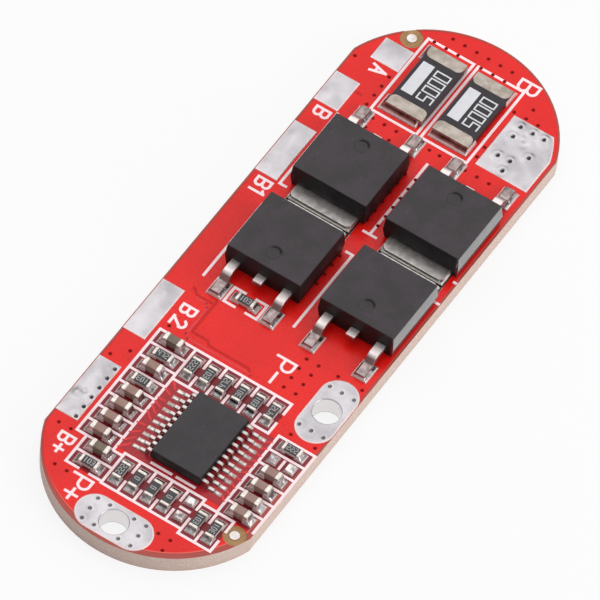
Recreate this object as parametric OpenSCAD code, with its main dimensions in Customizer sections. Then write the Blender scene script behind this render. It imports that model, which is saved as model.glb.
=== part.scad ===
// Battery management board: a round-ended circuit board that guards a pack of cells.
// It carries a controller, four power transistors, two current shunts, small capacitors
// and resistors, two plated wire lugs and six soldering pads.
// Frame: millimetres, origin under the middle of the board, +X along its length,
// +Y across it, +Z out of the component side.

/* [Board] */
// Thickness of the whole board, solder mask included
board_t = 1.6; // [1.2:0.1:2.4]
// Thickness of the solder mask film on each side
mask_t = 0.04; // [0.02:0.01:0.06]
// How much larger the radius of the ends is than half the width
end_bulge = 0.45; // [0.2:0.05:1.2]
// How far the scored faces of the long edges lean in from the snapped ridge
score_inset = 0.08; // [0.04:0.02:0.12]
// Depth of the score above and below the snapped ridge
score_depth = 0.5; // [0.3:0.05:0.55]
// Strip without copper along the round ends
copper_pullback = 0.42; // [0.3:0.02:0.6]
// From the left wire lug to the board's round end, where they come closest
lug_rim_gap = 0.05; // [0.04:0.01:0.4]
// From the frame round the shunts to the right end
right_margin = 2.412; // [2.2:0.01:4]

/* [Copper] */
// Thickness of a pad or land, its tin included
land_t = 0.07; // [0.06:0.01:0.12]
// Diameter of a via's hole
via_d = 0.3; // [0.2:0.05:0.4]
// Spacing of the vias in a group
via_pitch = 1.05; // [0.9:0.05:1.1]
// Diameter of the silver dot of a fiducial
fiducial_d = 0.76; // [0.6:0.02:0.9]
// Diameter of the bare ring round a fiducial
fiducial_ring_d = 1.8; // [1.4:0.1:1.9]

/* [Wire lugs] */
// Diameter of the hole for the wire
lug_hole_d = 2.2; // [1.8:0.1:2.4]
// Wall of the plated barrel, its tin included
barrel_t = 0.16; // [0.16:0.01:0.25]
// Width of a lug's pad
lug_w = 3.1; // [2.9:0.1:3.4]
// Length of the pad at the left end, across the board
lug_plus_l = 6.4; // [5.5:0.1:7]
// Length of the pad at the lower edge, along the board
lug_minus_l = 6.2; // [5.5:0.1:7]
// From the lower lug's pad to the lower edge
lug_edge_gap = 0.1; // [0.1:0.02:0.4]
// How far the left lug's middle lies from the board's middle, across it
lug_plus_y = -0.15; // [-0.4:0.01:0.4]

/* [Cell pads] */
// Depth of the pads along the upper edge
pad_depth = 1.97; // [1.6:0.05:2.5]
// Extra depth of the pad next to the sense pad
pad_b_extra = 0.2; // [0:0.05:0.3]
// From those pads to the upper edge
pad_edge_gap = 0.12; // [0.12:0.02:0.3]
// Length of the B plus pad
pad_b_plus_l = 5.87; // [4.5:0.1:6.5]
// Length of the B2 pad
pad_b2_l = 5.4; // [4.5:0.1:5.8]
// Length of the B1 pad
pad_b1_l = 5.49; // [4.5:0.1:6]
// Length of the B pad
pad_b_l = 3.17; // [2.5:0.1:3.6]
// Length of the sense pad, along the board
pad_a_l = 2.27; // [1.8:0.1:2.6]
// Width of the sense pad, across the board
pad_a_w = 2.53; // [2:0.1:2.8]
// Length of the B minus pad, along the board
pad_b_minus_l = 5.5; // [4.5:0.1:6]
// Width of the B minus pad, across the board
pad_b_minus_w = 4.55; // [4:0.1:5]
// From the B minus pad to the lower edge
pad_b_minus_edge_gap = 0.4; // [0.3:0.05:0.8]

/* [Controller] */
// Leads along each side
ctrl_leads = 10; // [8:1:10]
// Spacing of the leads
ctrl_pitch = 0.65; // [0.6:0.01:0.7]
// From the last lead to the end of the moulding
ctrl_end = 0.325; // [0.25:0.025:0.5]
// Width of the moulding
ctrl_w = 4.4; // [4:0.1:4.8]
// Height of the moulding's top over its lands
ctrl_h = 1.1; // [0.9:0.05:1.2]
// Gap under the moulding
ctrl_standoff = 0.1; // [0.05:0.05:0.15]
// Draft of the moulding's sides
ctrl_draft = 0.08; // [0.04:0.02:0.12]
// Width of a lead
ctrl_lead_w = 0.24; // [0.18:0.02:0.3]
// Thickness of a lead
ctrl_lead_t = 0.13; // [0.1:0.01:0.15]
// How far a lead reaches out of the moulding
ctrl_lead_out = 1; // [0.9:0.05:1.2]
// How much wider than a lead its land is
ctrl_land_side = 0.04; // [0.02:0.01:0.06]
// How far a land runs out past its lead
ctrl_land_toe = 0.65; // [0.4:0.05:0.8]
// How far a land runs in past the bend of its lead
ctrl_land_heel = 0.06; // [0.02:0.02:0.1]

/* [Chips] */
// Length of a chip capacitor or resistor
chip_l = 1.55; // [1.4:0.05:1.7]
// Width of a chip
chip_w = 0.75; // [0.65:0.05:0.8]
// Height of a capacitor
cap_h = 0.8; // [0.5:0.05:0.9]
// Height of a resistor
res_h = 0.45; // [0.35:0.05:0.6]
// Length of a capacitor's end cap
cap_term_l = 0.36; // [0.25:0.01:0.45]
// Length of a resistor's end cap
res_term_l = 0.26; // [0.2:0.01:0.4]
// Thickness of the metal of an end cap
chip_term_t = 0.03; // [0.02:0.01:0.05]
// How far a land runs out past the chip's end
land_toe = 0.4; // [0.3:0.05:0.5]
// How far a land runs in under the chip
land_heel = 0.42; // [0.3:0.02:0.5]
// How much wider than a chip its lands are
land_side = 0.075; // [0.04:0.005:0.1]
// From a land's toe to the line of its frame
cell_gap = 0.29; // [0.2:0.02:0.4]
// From a land's side to the frame line, in a row
row_gap = 0.125; // [0.1:0.005:0.2]
// From a land's side to the frame line, in a column
column_gap = 0.1375; // [0.1:0.005:0.2]
// How far the lower pair of the left column is set out
pair_shift = 0.42; // [0.2:0.02:0.5]

/* [Power transistors] */
// Length of the moulding, along the board
fet_l = 6.1; // [5.9:0.1:6.5]
// Width of the moulding, across the board
fet_w = 6.6; // [6.2:0.1:6.8]
// Height of the moulding's top over its lands
fet_h = 2.32; // [2.1:0.02:2.5]
// Draft of the moulding's sides, over its upper part
fet_draft = 0.11; // [0.06:0.01:0.2]
// Diameter of the round mark left by the ejector pin
fet_mark_d = 1.1; // [0.8:0.1:1.3]
// Depth of that mark
fet_mark_t = 0.04; // [0.02:0.01:0.08]
// Width of the drain tab
tab_w = 5.33; // [5:0.05:5.5]
// How far the drain tab stands out
tab_out = 1.16; // [0.9:0.02:1.3]
// Thickness of the tab and the leads
fet_metal_t = 0.5; // [0.45:0.05:0.6]
// Corner cut of the tab
tab_chamfer = 0.3; // [0.1:0.05:0.5]
// Width of a lead
fet_lead_w = 0.76; // [0.65:0.01:0.85]
// Spacing of the three leads
fet_lead_pitch = 2.285; // [2.2:0.005:2.35]
// How far the two long leads reach
fet_lead_out = 2.85; // [2.6:0.05:3.1]
// Height of the leads' undersides where they leave the moulding
fet_lead_rise = 0.6; // [0.5:0.05:0.7]
// How far the cropped middle lead reaches
fet_stub_out = 0.75; // [0.5:0.05:0.9]
// Land of a lead, along the board
fet_land_l = 1.75; // [1.5:0.05:1.9]
// Land of a lead, across the board
fet_land_w = 1.33; // [1.1:0.01:1.5]
// How far that land runs out past the lead
fet_land_toe = 0.14; // [0.08:0.02:0.3]
// How much wider than the tab its land is, each side
tab_land_side = 0.18; // [0.1:0.02:0.25]
// From the lower edge to the lower transistors
fet_edge_gap = 0.33; // [0.25:0.01:0.6]
// Between the two rows of transistors
fet_row_gap = 1.57; // [1.4:0.01:2.2]
// Between the tabs that face each other
tab_gap = 0.36; // [0.2:0.02:0.8]
// From the upper transistors to the pads of the upper edge
fet_pad_gap = 0.91; // [0.8:0.01:1.4]

/* [Shunts] */
// Length of a shunt, along the board
shunt_l = 6.35; // [6:0.05:6.5]
// Width of a shunt
shunt_w = 3.2; // [3:0.05:3.3]
// Height of a shunt
shunt_h = 0.65; // [0.5:0.05:0.8]
// Length of a shunt's end cap
shunt_term_l = 1.05; // [1:0.05:1.2]
// Thickness of the metal of that cap
shunt_term_t = 0.05; // [0.03:0.01:0.08]
// Corner radius of that cap, where it meets the black coat
shunt_corner_r = 0.5; // [0.3:0.05:0.5]
// From a shunt's end to the frame printed round it
shunt_frame_end = 0.8; // [0.7:0.05:1]
// From a shunt's side to that frame, on average
shunt_frame_side = 0.42; // [0.4:0.02:0.7]
// Between the two frames
shunt_frame_gap = 0.4; // [0.3:0.05:0.8]
// How low in its frame the upper shunt was soldered
shunt_drop = 0.35; // [0:0.05:0.35]
// How far a shunt's land runs out past its end
shunt_land_toe = 0.4; // [0.3:0.05:0.5]
// How far that land runs in under the shunt
shunt_land_heel = 1.15; // [1.05:0.05:1.5]
// How much wider than the shunt its lands are, each side
shunt_land_side = 0.1; // [0.04:0.02:0.2]
// Length of the white block printed on a shunt
mark_l = 3.2; // [2.6:0.1:3.4]
// Width of that block
mark_w = 1; // [0.8:0.05:1.1]
// Height of the figures below the block
figure_h = 1.33; // [1.1:0.01:1.4]
// Stroke of those figures
figure_stroke = 0.12; // [0.08:0.01:0.16]

/* [Print] */
// Thickness of the white print
print_t = 0.02; // [0.01:0.01:0.04]
// Width of a printed line
line_w = 0.22; // [0.16:0.02:0.26]
// Height of the small terminal marks
mark_small = 1.4; // [1.2:0.05:1.5]
// Height of the large terminal marks
mark_large = 1.8; // [1.6:0.05:1.9]

/* [Spacing] */
// From the left lug to the left column of chips
lug_column_gap = 0.78; // [0.76:0.01:1.4]
// From the left column to the controller
column_ctrl_gap = 0.65; // [0.6:0.05:1.2]
// From the controller to the right column
ctrl_column_gap = 0.37; // [0.35:0.02:0.8]
// How much higher than the controller's middle the left column's middle lies
left_raise = 0.41; // [0.3:0.01:0.6]
// From the lower row of chips to the lower edge
row_edge_gap = 0.17; // [0.17:0.01:0.5]
// From the lower row to the controller's lands
row_ctrl_gap = 0.53; // [0.4:0.01:1]
// From the controller's lands to the upper row
ctrl_row_gap = 0.92; // [0.8:0.01:1.4]
// From the upper row to the B plus pad
row_pad_gap = 0.39; // [0.3:0.01:0.8]
// From the lower row to the lower lug
row_lug_gap = 0.72; // [0.6:0.02:1.2]
// From the lower lug to the transistors' lands
lug_fet_gap = 0.6; // [0.5:0.02:1.2]
// From the transistors' lands to the shunts' frame
fet_shunt_gap = 0.17; // [0.16:0.01:0.6]
// From the B minus pad to the shunts' frame
pad_shunt_gap = 0.53; // [0.45:0.01:1]
// From the sense pad to the shunts' frame
sense_shunt_gap = 0.13; // [0.12:0.01:0.4]
// From the sense pad to the upper edge
sense_edge_gap = 1.48; // [1.4:0.02:2.5]
// From the start of the upper row to the B plus pad
row_pad_shift = 0.63; // [0.5:0.01:1]
// Between the B plus and B2 pads
plus_b2_gap = 2.97; // [2.6:0.01:3.2]
// How far the B1 pad starts left of its transistor
pad_b1_lead = 0.32; // [0:0.02:0.6]
// Between the B1 and B pads
b1_b_gap = 2.43; // [2.2:0.01:2.6]
// How far the B minus pad starts inside the end of the shunts' frame
pad_b_minus_in = 0.3; // [0:0.05:0.8]

/* [Hidden] */
$fn = 48;

// heights
lam_bottom = mask_t;
lam_top = board_t - mask_t;
land_top = lam_top + land_t;

// what one chip, one controller and one transistor take up, lands and frame lines included
land_w = chip_w + 2 * land_side;
land_l = land_toe + land_heel;
cell_l = chip_l + 2 * land_toe + 2 * cell_gap + line_w;
row_pitch = land_w + line_w + 2 * row_gap;
column_pitch = land_w + line_w + 2 * column_gap;
ctrl_l = (ctrl_leads - 1) * ctrl_pitch + 2 * ctrl_end;
ctrl_span = ctrl_w + 2 * ctrl_lead_out + 2 * ctrl_land_toe;
shunt_frame_l = shunt_l + 2 * shunt_frame_end;
shunt_frame_w = shunt_w + 2 * shunt_frame_side;
upper_cells = 8;
lower_cells = 6;
left_cells = 5;
right_cells = 6;

// bends of the two kinds of formed lead
fet_bend_r = 0.35;
fet_bend_angle = 55;
fet_shoulder = 0.95;
tab_in = 1.8;
ctrl_bend_r = 0.12;
ctrl_bend_angle = 78;
ctrl_shoulder = 0.3;
ctrl_lead_z = (ctrl_h + ctrl_standoff) / 2;
ctrl_foot = ctrl_lead_out - ctrl_shoulder
    - bend_run(ctrl_lead_z - ctrl_lead_t / 2, ctrl_bend_r, ctrl_bend_angle) + ctrl_bend_r / 2;

// the board is as wide as the widest of three stacks, each counted from the lower edge up
pad_strip = pad_depth + pad_edge_gap;
fet_stack = fet_edge_gap + 2 * fet_w + fet_row_gap + fet_pad_gap + pad_strip;
ctrl_stack = row_edge_gap + 2 * cell_l + row_ctrl_gap + ctrl_span + ctrl_row_gap
           + row_pad_gap + pad_strip;
shunt_stack = pad_b_minus_edge_gap + pad_b_minus_w + pad_shunt_gap + 2 * shunt_frame_w
            + shunt_frame_gap + sense_shunt_gap + pad_a_w + sense_edge_gap;
board_w = max(fet_stack, ctrl_stack, shunt_stack);
low = -board_w / 2;
high = board_w / 2;
end_r = high + end_bulge;

// places along the board, from its left end; the end of the left lug keeps inside the round end
lug_end_y = (lug_plus_l - lug_w) / 2 + abs(lug_plus_y);
u_lug_plus = end_r - sqrt(pow(end_r - lug_rim_gap - lug_w / 2, 2) - pow(lug_end_y, 2));
u_left = u_lug_plus + lug_w / 2 + lug_column_gap + cell_l / 2;
u_ctrl = u_left + cell_l / 2 + column_ctrl_gap + ctrl_l / 2;
u_right = u_ctrl + ctrl_l / 2 + ctrl_column_gap + cell_l / 2;
u_lower = u_left + cell_l / 2 - pair_shift;
u_lug_minus = u_lower + lower_cells * row_pitch + row_lug_gap + lug_minus_l / 2;
u_fet_a = u_lug_minus + lug_minus_l / 2 + lug_fet_gap + fet_land_toe + fet_lead_out + fet_l / 2;
u_fet_b = u_fet_a + fet_l + 2 * tab_out + tab_gap;
u_shunt = u_fet_b + fet_l / 2 + fet_lead_out + fet_land_toe + fet_shunt_gap
        + shunt_frame_l / 2;
board_l = u_shunt + shunt_frame_l / 2 + right_margin;

// the same places in the frame of the part
mid = board_l / 2;
lug_plus_x = u_lug_plus - mid;
left_x = u_left - mid;
ctrl_x = u_ctrl - mid;
right_x = u_right - mid;
lower_x = u_lower - mid;
lug_minus_x = u_lug_minus - mid;
fet_a_x = u_fet_a - mid;
fet_b_x = u_fet_b - mid;
shunt_x = u_shunt - mid;
arc_x = mid - end_r;

// places across the board
lower_y = low + row_edge_gap + cell_l / 2;
ctrl_y = lower_y + cell_l / 2 + row_ctrl_gap + ctrl_span / 2;
upper_y = ctrl_y + ctrl_span / 2 + ctrl_row_gap + cell_l / 2;
upper_x = right_x + cell_l / 2 - upper_cells * row_pitch;
right_top = upper_y - cell_l / 2;
left_top = ctrl_y + left_cells * column_pitch / 2 + left_raise;
left_bottom = left_top - left_cells * column_pitch;
corner_y = left_top + cell_l / 2;
lug_minus_y = low + lug_edge_gap + lug_w / 2;
fet_low_y = low + fet_edge_gap + fet_w / 2;
fet_high_y = fet_low_y + fet_w + fet_row_gap;
gate_x = fet_a_x - fet_l / 2 - fet_lead_out + chip_w;
pad_y = high - pad_strip;
pad_top = high - pad_edge_gap;
pad_b_minus_y = low + pad_b_minus_edge_gap;
frame_2_y = pad_b_minus_y + pad_b_minus_w + pad_shunt_gap + shunt_frame_w / 2;
frame_1_y = frame_2_y + shunt_frame_w + shunt_frame_gap;
pad_a_y = frame_1_y + shunt_frame_w / 2 + sense_shunt_gap;
shunt_ys = [frame_1_y - shunt_drop, frame_2_y];

// the pads of the upper edge, from left to right
pad_b_plus_x = upper_x + row_pad_shift;
pad_b2_x = pad_b_plus_x + pad_b_plus_l + plus_b2_gap;
pad_b1_x = fet_b_x - fet_l / 2 - pad_b1_lead;
pad_b_x = pad_b1_x + pad_b1_l + b1_b_gap;
pad_a_x = shunt_x;
pad_b_minus_x = shunt_x - shunt_frame_l / 2 + pad_b_minus_in;

// transistor seats: place and turn, leads to the left at 0 degrees
fets = [[fet_b_x, fet_high_y, 180], [fet_b_x, fet_low_y, 180],
        [fet_a_x, fet_high_y, 0], [fet_a_x, fet_low_y, 0]];

// chip seats, one string per row or column: C capacitor, R resistor, 0 link, - left empty
upper_kinds = "CCCCRCRC";
corner_kinds = "RC";
right_kinds = "RRRRRR";
left_kinds = "R000-";
pair_kinds = "RR";
lower_kinds = "CCCC-R";
seats = concat(
    [for (i = [0:upper_cells - 1]) [upper_kinds[i], upper_x + (i + 0.5) * row_pitch, upper_y, 90]],
    [for (i = [0:1]) [corner_kinds[i], upper_x + (i - 1.5) * row_pitch, corner_y, 90]],
    [for (i = [0:right_cells - 1]) [right_kinds[i], right_x, right_top - (i + 0.5) * column_pitch, 0]],
    [for (i = [0:left_cells - 1]) [left_kinds[i], left_x, left_top - (i + 0.5) * column_pitch, 0]],
    [for (i = [0:1]) [pair_kinds[i], left_x - pair_shift, left_bottom - (i + 0.5) * column_pitch, 0]],
    [for (i = [0:lower_cells - 1]) [lower_kinds[i], lower_x + (i + 0.5) * row_pitch, lower_y, 90]],
    [["R", gate_x, fet_high_y, 90]]);
function of_kind(kind) = [for (s = seats) if (s[0] == kind) s];
capacitors = of_kind("C");
resistors = of_kind("R");
links = of_kind("0");
empties = of_kind("-");

// fiducials near the two round ends
fiducials = [[left_x + 0.2, left_bottom - 2.5 * column_pitch],
             [pad_a_x + pad_a_l + fiducial_ring_d / 2 + 0.1, pad_a_y + fiducial_ring_d / 2]];

// lands as [x, y, size along x, size along y]
land_off = chip_l / 2 + land_toe - land_l / 2;
chip_lands = [for (s = seats, e = [-1, 1]) s[3] == 90
    ? [s[1], s[2] + e * land_off, land_w, land_l] : [s[1] + e * land_off, s[2], land_l, land_w]];
ctrl_land_l = ctrl_land_toe + ctrl_foot + ctrl_land_heel;
ctrl_lands = [for (i = [0:ctrl_leads - 1], e = [-1, 1])
    [ctrl_x + (i - (ctrl_leads - 1) / 2) * ctrl_pitch, ctrl_y + e * (ctrl_span - ctrl_land_l) / 2,
     ctrl_lead_w + 2 * ctrl_land_side, ctrl_land_l]];
fet_land_off = fet_l / 2 + fet_lead_out + fet_land_toe - fet_land_l / 2;
fet_lands = [for (f = fets, e = [-1, 1]) [f[0] - cos(f[2]) * fet_land_off,
    f[1] + e * fet_lead_pitch, fet_land_l, fet_land_w]];
tab_lands = [for (y = [fet_low_y, fet_high_y]) [(fet_a_x + fet_b_x) / 2, y,
    fet_b_x - fet_a_x + 2 * tab_in, tab_w + 2 * tab_land_side]];
shunt_land_l = shunt_land_toe + shunt_land_heel;
shunt_land_off = shunt_l / 2 + shunt_land_toe - shunt_land_l / 2;
shunt_lands = [for (y = [frame_1_y, frame_2_y], e = [-1, 1])
    [shunt_x + e * shunt_land_off, y, shunt_land_l, shunt_w + 2 * shunt_land_side]];
lands = concat(chip_lands, ctrl_lands, fet_lands, tab_lands, shunt_lands);

// how far a lead travels outwards while it bends down by drop
function bend_run(drop, r, angle) =
    2 * r * sin(angle) + (drop - 2 * r * (1 - cos(angle))) / tan(angle);

// side view of a formed lead: along from start, down through two bends, along to tip
function gull(start, shoulder, tip, height, r, angle, t, steps = 6) = let(
    drop = height - t / 2,
    foot = shoulder + bend_run(drop, r, angle),
    upper = function (rad) [for (i = [0:steps]) let(a = 90 - angle * i / steps)
        [shoulder + rad * cos(a), height - r + rad * sin(a)]],
    lower = function (rad) [for (i = [0:steps]) let(a = 270 - angle + angle * i / steps)
        [foot + rad * cos(a), t / 2 + r + rad * sin(a)]],
    back = function (list) [for (i = [len(list) - 1:-1:0]) list[i]])
    concat([[start, height + t / 2]], upper(r + t / 2), lower(r - t / 2), [[tip, t], [tip, 0]],
           back(lower(r + t / 2)), back(upper(r - t / 2)), [[start, height - t / 2]]);

// vias as rows: [first x, first y, step x, step y, count]
g = via_pitch;
wide_g = via_pitch - 0.03;
fet_side_y = fet_high_y - fet_w / 2;
fet_right_end = fet_b_x + fet_l / 2;
frame_right = shunt_x + shunt_frame_l / 2;
via_rows = [
    // left lug, and the strips of board beside it
    [lug_plus_x - g, lug_plus_y + 2 * g, g, 0, 3], [lug_plus_x - g, lug_plus_y + g, 2 * g, 0, 2],
    [lug_plus_x - g, lug_plus_y - g, 2 * g, 0, 2], [lug_plus_x - g, lug_plus_y - 2 * g, g, 0, 3],
    [lug_plus_x + g, lug_plus_y - 3 * g, 0, g, 1], [lug_plus_x, lug_plus_y - 4 * g, g, 0, 2],
    [lug_plus_x + lug_w / 2 + 0.2, lug_plus_y + lug_plus_l / 2 + 2 * g, 0, g, 2],
    [upper_x - 0.2, pad_y, 0, g, 2],
    // lower lug, and the board above it
    [lug_minus_x - 2 * g, lug_minus_y - g, 0, g, 3], [lug_minus_x + 1.9 * g, lug_minus_y - g, 0, g, 3],
    [lug_minus_x - lug_minus_l / 2 - 0.1, lug_minus_y - g, 0, 2 * g, 2],
    [lug_minus_x + lug_minus_l / 2, lug_minus_y - g, 0, 2 * g, 2],
    [lug_minus_x, lug_minus_y + 2.6 * g, wide_g, 0, 4], [lug_minus_x, lug_minus_y + 3.6 * g, wide_g, 0, 4],
    // upper edge
    [pad_b_plus_x + 0.28, pad_y + 0.3, wide_g, 0, 6],
    [pad_b_plus_x + pad_b_plus_l + 0.5, pad_top - 0.6, g, -g, 2],
    [right_x + cell_l / 2 + 0.62, upper_y + 1.2, g, 0, 1], [pad_a_x - 0.55, pad_top - 0.4, g, 0, 1],
    // beside and below the upper transistors
    [fet_b_x - 2.4, fet_side_y + 0.14, wide_g, 0, 6], [fet_b_x - 2.4, fet_side_y - 0.8, wide_g, 0, 6],
    [fet_a_x - 0.6, fet_side_y + 0.02, wide_g, 0, 4],
    // between the right hand transistors and the shunts
    [fet_right_end + 2.55, fet_high_y - g / 2, 0, g, 3],
    [fet_right_end + 1.55, fet_high_y - g / 2, 0, 2 * g, 2],
    [fet_right_end + 2.55, fet_side_y - g, 0, g * 0.85, 2],
    [fet_right_end + 2.55, fet_low_y - g / 2, 0, g, 3],
    [shunt_x - shunt_frame_l / 2 + 0.2, frame_1_y + shunt_frame_w / 2 + 0.46, wide_g, 0, 4],
    // right end
    [frame_right, frame_2_y - 0.3, 0, g, 3], [frame_right, frame_1_y - 0.6, 0, g, 3],
    [frame_right + g, frame_2_y - 0.3, 0, g, 6],
    // B minus pad, and the board beside it
    [pad_b_minus_x + 1.62, pad_b_minus_y + 3.55, 2 * g, 0, 2],
    [pad_b_minus_x + 1.62 + 3 * g, pad_b_minus_y + 3.55, g, 0, 1],
    [pad_b_minus_x + 0.6, pad_b_minus_y + 2.5, g, 0, 2],
    [pad_b_minus_x + 0.6 + 4 * g, pad_b_minus_y + 2.5, g, 0, 1],
    [pad_b_minus_x + 0.6 + 2 * g, pad_b_minus_y + 1.5, 2 * g, 0, 2],
    [pad_b_minus_x + 0.65, pad_b_minus_y + pad_b_minus_w + 0.2, g, 0, 2],
    [pad_b_minus_x + pad_b_minus_l + 0.2, pad_b_minus_y + 2.6, 0, g, 3],
    [pad_b_minus_x + pad_b_minus_l + 1.2, pad_b_minus_y + 3.65, g, 0, 1]];
vias = [for (r = via_rows, k = [0:r[4] - 1]) [r[0] + k * r[2], r[1] + k * r[3]]];
function vias_near(x0, y0, x1, y1) = [for (v = vias)
    if (v[0] > x0 - via_d && v[0] < x1 + via_d && v[1] > y0 - via_d && v[1] < y1 + via_d) v];

cut = 0.2; // how far a cutter runs past the face that it opens
divider_open = cell_l * 0.32; // the middle part of a divider that isn't printed

// ---- board ----
// edge of the long sides, seen along the board: a ridge between two scored faces
module edge_profile() {
    rotate([90, 0, 90]) linear_extrude(board_l, center = true) polygon([
        [low + score_inset, 0], [low, score_depth], [low, board_t - score_depth],
        [low + score_inset, board_t], [high - score_inset, board_t], [high, board_t - score_depth],
        [high, score_depth], [high - score_inset, 0]]);
}

module outline(z0, z1) {
    intersection() {
        translate([0, 0, z0]) union() {
            for (s = [-1, 1]) translate([s * arc_x, 0, 0]) cylinder(r = end_r, h = z1 - z0, $fn = 128);
            translate([-arc_x, -end_r, 0]) cube([2 * arc_x, 2 * end_r, z1 - z0]);
        }
        edge_profile();
    }
}

module via_holes(sites, z0, z1) {
    for (v = sites) translate([v[0], v[1], z0 - cut])
        cylinder(d = via_d, h = z1 - z0 + 2 * cut, $fn = 24);
}

// a bar with round ends, long along x
module stadium(l, w, h) {
    union() {
        for (s = [-1, 1]) translate([s * (l - w) / 2, 0, 0]) cylinder(d = w, h = h, $fn = 64);
        translate([-(l - w) / 2, -w / 2, 0]) cube([l - w, w, h]);
    }
}

module place_lug_plus() {
    translate([lug_plus_x, lug_plus_y, 0]) rotate([0, 0, 90]) children();
}

module place_lug_minus() {
    translate([lug_minus_x, lug_minus_y, 0]) children();
}

module lug_barrel_holes() {
    for (p = [[lug_plus_x, lug_plus_y], [lug_minus_x, lug_minus_y]])
        translate([p[0], p[1], -cut]) cylinder(d = lug_hole_d + 2 * barrel_t, h = board_t + 2 * cut);
}

module board_laminate() {
    color("tan") difference() {
        outline(lam_bottom, lam_top);
        lug_barrel_holes();
        via_holes(vias, 0, board_t);
    }
}

module land_boxes(sites, z0, t) {
    for (r = sites) translate([r[0] - r[2] / 2, r[1] - r[3] / 2, z0]) cube([r[2], r[3], t]);
}

module mask_openings() {
    land_boxes(lands, lam_top - cut, mask_t + 2 * cut);
    for (f = fiducials) translate([f[0], f[1], lam_top - cut])
        cylinder(d = fiducial_ring_d, h = mask_t + 2 * cut);
    translate([0, 0, lam_top - cut]) {
        place_lug_plus() stadium(lug_plus_l, lug_w, mask_t + 2 * cut);
        place_lug_minus() stadium(lug_minus_l, lug_w, mask_t + 2 * cut);
        for (r = edge_pads) translate([r[0], r[1], 0]) cube([r[2], r[3], mask_t + 2 * cut]);
        b_minus_shape(mask_t + 2 * cut);
    }
}

module solder_mask_top() {
    color("crimson") difference() {
        outline(lam_top, board_t);
        mask_openings();
        via_holes(vias, lam_top, board_t);
    }
}

module solder_mask_bottom() {
    color("crimson") difference() {
        outline(0, lam_bottom);
        translate([0, 0, -cut]) {
            place_lug_plus() stadium(lug_plus_l, lug_w, mask_t + 2 * cut);
            place_lug_minus() stadium(lug_minus_l, lug_w, mask_t + 2 * cut);
        }
        via_holes(vias, 0, lam_bottom);
    }
}

// ---- tinned copper ----
// a lug: a pad on each side, joined by a plated barrel
module lug(l, via_sites) {
    difference() {
        union() {
            stadium(l, lug_w, mask_t);
            translate([0, 0, lam_top]) stadium(l, lug_w, land_t);
            cylinder(d = lug_hole_d + 2 * barrel_t, h = land_top);
        }
        translate([0, 0, -cut]) cylinder(d = lug_hole_d, h = land_top + 2 * cut);
        for (v = via_sites) translate([v[0], v[1], -cut])
            cylinder(d = via_d, h = land_top + 2 * cut, $fn = 24);
    }
}

module lug_p_plus() {
    near = vias_near(lug_plus_x - lug_w / 2 + 2 * via_d, lug_plus_y - lug_plus_l / 2 + 2 * via_d,
                     lug_plus_x + lug_w / 2 - 2 * via_d, lug_plus_y + lug_plus_l / 2 - 2 * via_d);
    color("silver") place_lug_plus()
        lug(lug_plus_l, [for (v = near) [v[1] - lug_plus_y, -(v[0] - lug_plus_x)]]);
}

module lug_p_minus() {
    near = vias_near(lug_minus_x - lug_minus_l / 2 + 2 * via_d, lug_minus_y - lug_w / 2,
                     lug_minus_x + lug_minus_l / 2 - 2 * via_d, lug_minus_y + lug_w / 2);
    color("silver") place_lug_minus()
        lug(lug_minus_l, [for (v = near) [v[0] - lug_minus_x, v[1] - lug_minus_y]]);
}

// pads as [x, y, size along x, size along y], from their lower left corners
edge_pads = [
    [pad_b_plus_x, pad_y, pad_b_plus_l, pad_depth],
    [pad_b2_x, pad_y, pad_b2_l, pad_depth],
    [pad_b1_x, pad_y, pad_b1_l, pad_depth],
    [pad_b_x, pad_y - pad_b_extra, pad_b_l, pad_depth + pad_b_extra],
    [pad_a_x, pad_a_y, pad_a_l, pad_a_w]];

module edge_pad(i) {
    r = edge_pads[i];
    color("silver") difference() {
        translate([r[0], r[1], lam_top]) cube([r[2], r[3], land_t]);
        via_holes(vias_near(r[0], r[1], r[0] + r[2], r[1] + r[3]), lam_top, land_top);
    }
}

// the B minus pad, its corner cut to run along the round end
module b_minus_shape(h) {
    intersection() {
        translate([pad_b_minus_x, pad_b_minus_y, 0]) cube([pad_b_minus_l, pad_b_minus_w, h]);
        union() {
            translate([arc_x, 0, 0]) cylinder(r = end_r - copper_pullback, h = h, $fn = 128);
            translate([0, low, 0]) cube([arc_x, board_w, h]);
        }
    }
}

module pad_b_minus() {
    color("silver") difference() {
        translate([0, 0, lam_top]) b_minus_shape(land_t);
        via_holes(vias_near(pad_b_minus_x, pad_b_minus_y, pad_b_minus_x + pad_b_minus_l,
                            pad_b_minus_y + pad_b_minus_w), lam_top, land_top);
    }
}

module component_lands() {
    color("silver") {
        land_boxes(lands, lam_top, land_t);
        for (f = fiducials) translate([f[0], f[1], lam_top]) cylinder(d = fiducial_d, h = land_t);
    }
}

// ---- solder ----
toe_fill = 0.9; // how much of a land's toe the solder covers
fillet_climb = 0.7; // how far up an end face it climbs, as a part of the face's height
// a wedge that climbs an end face, its back at the origin, running out along x
module fillet(run, rise, w) {
    rotate([90, 0, 0]) linear_extrude(w, center = true)
        polygon([[0, 0], [run, 0], [run * 0.42, rise * 0.3], [run * 0.12, rise * 0.72], [0, rise]]);
}

module at_seat(s) {
    translate([s[1], s[2], land_top]) rotate([0, 0, s[3]]) children();
}

// a low dome of solder on a land that carries no chip
module blob() {
    blob_r = land_l * 0.67;
    blob_h = res_h * 0.67;
    ball = (blob_r * blob_r + blob_h * blob_h) / (2 * blob_h);
    intersection() {
        translate([0, 0, blob_h - ball]) sphere(r = ball);
        translate([-land_l / 2, -land_w / 2, 0]) cube([land_l, land_w, blob_h + cut]);
    }
}

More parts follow.
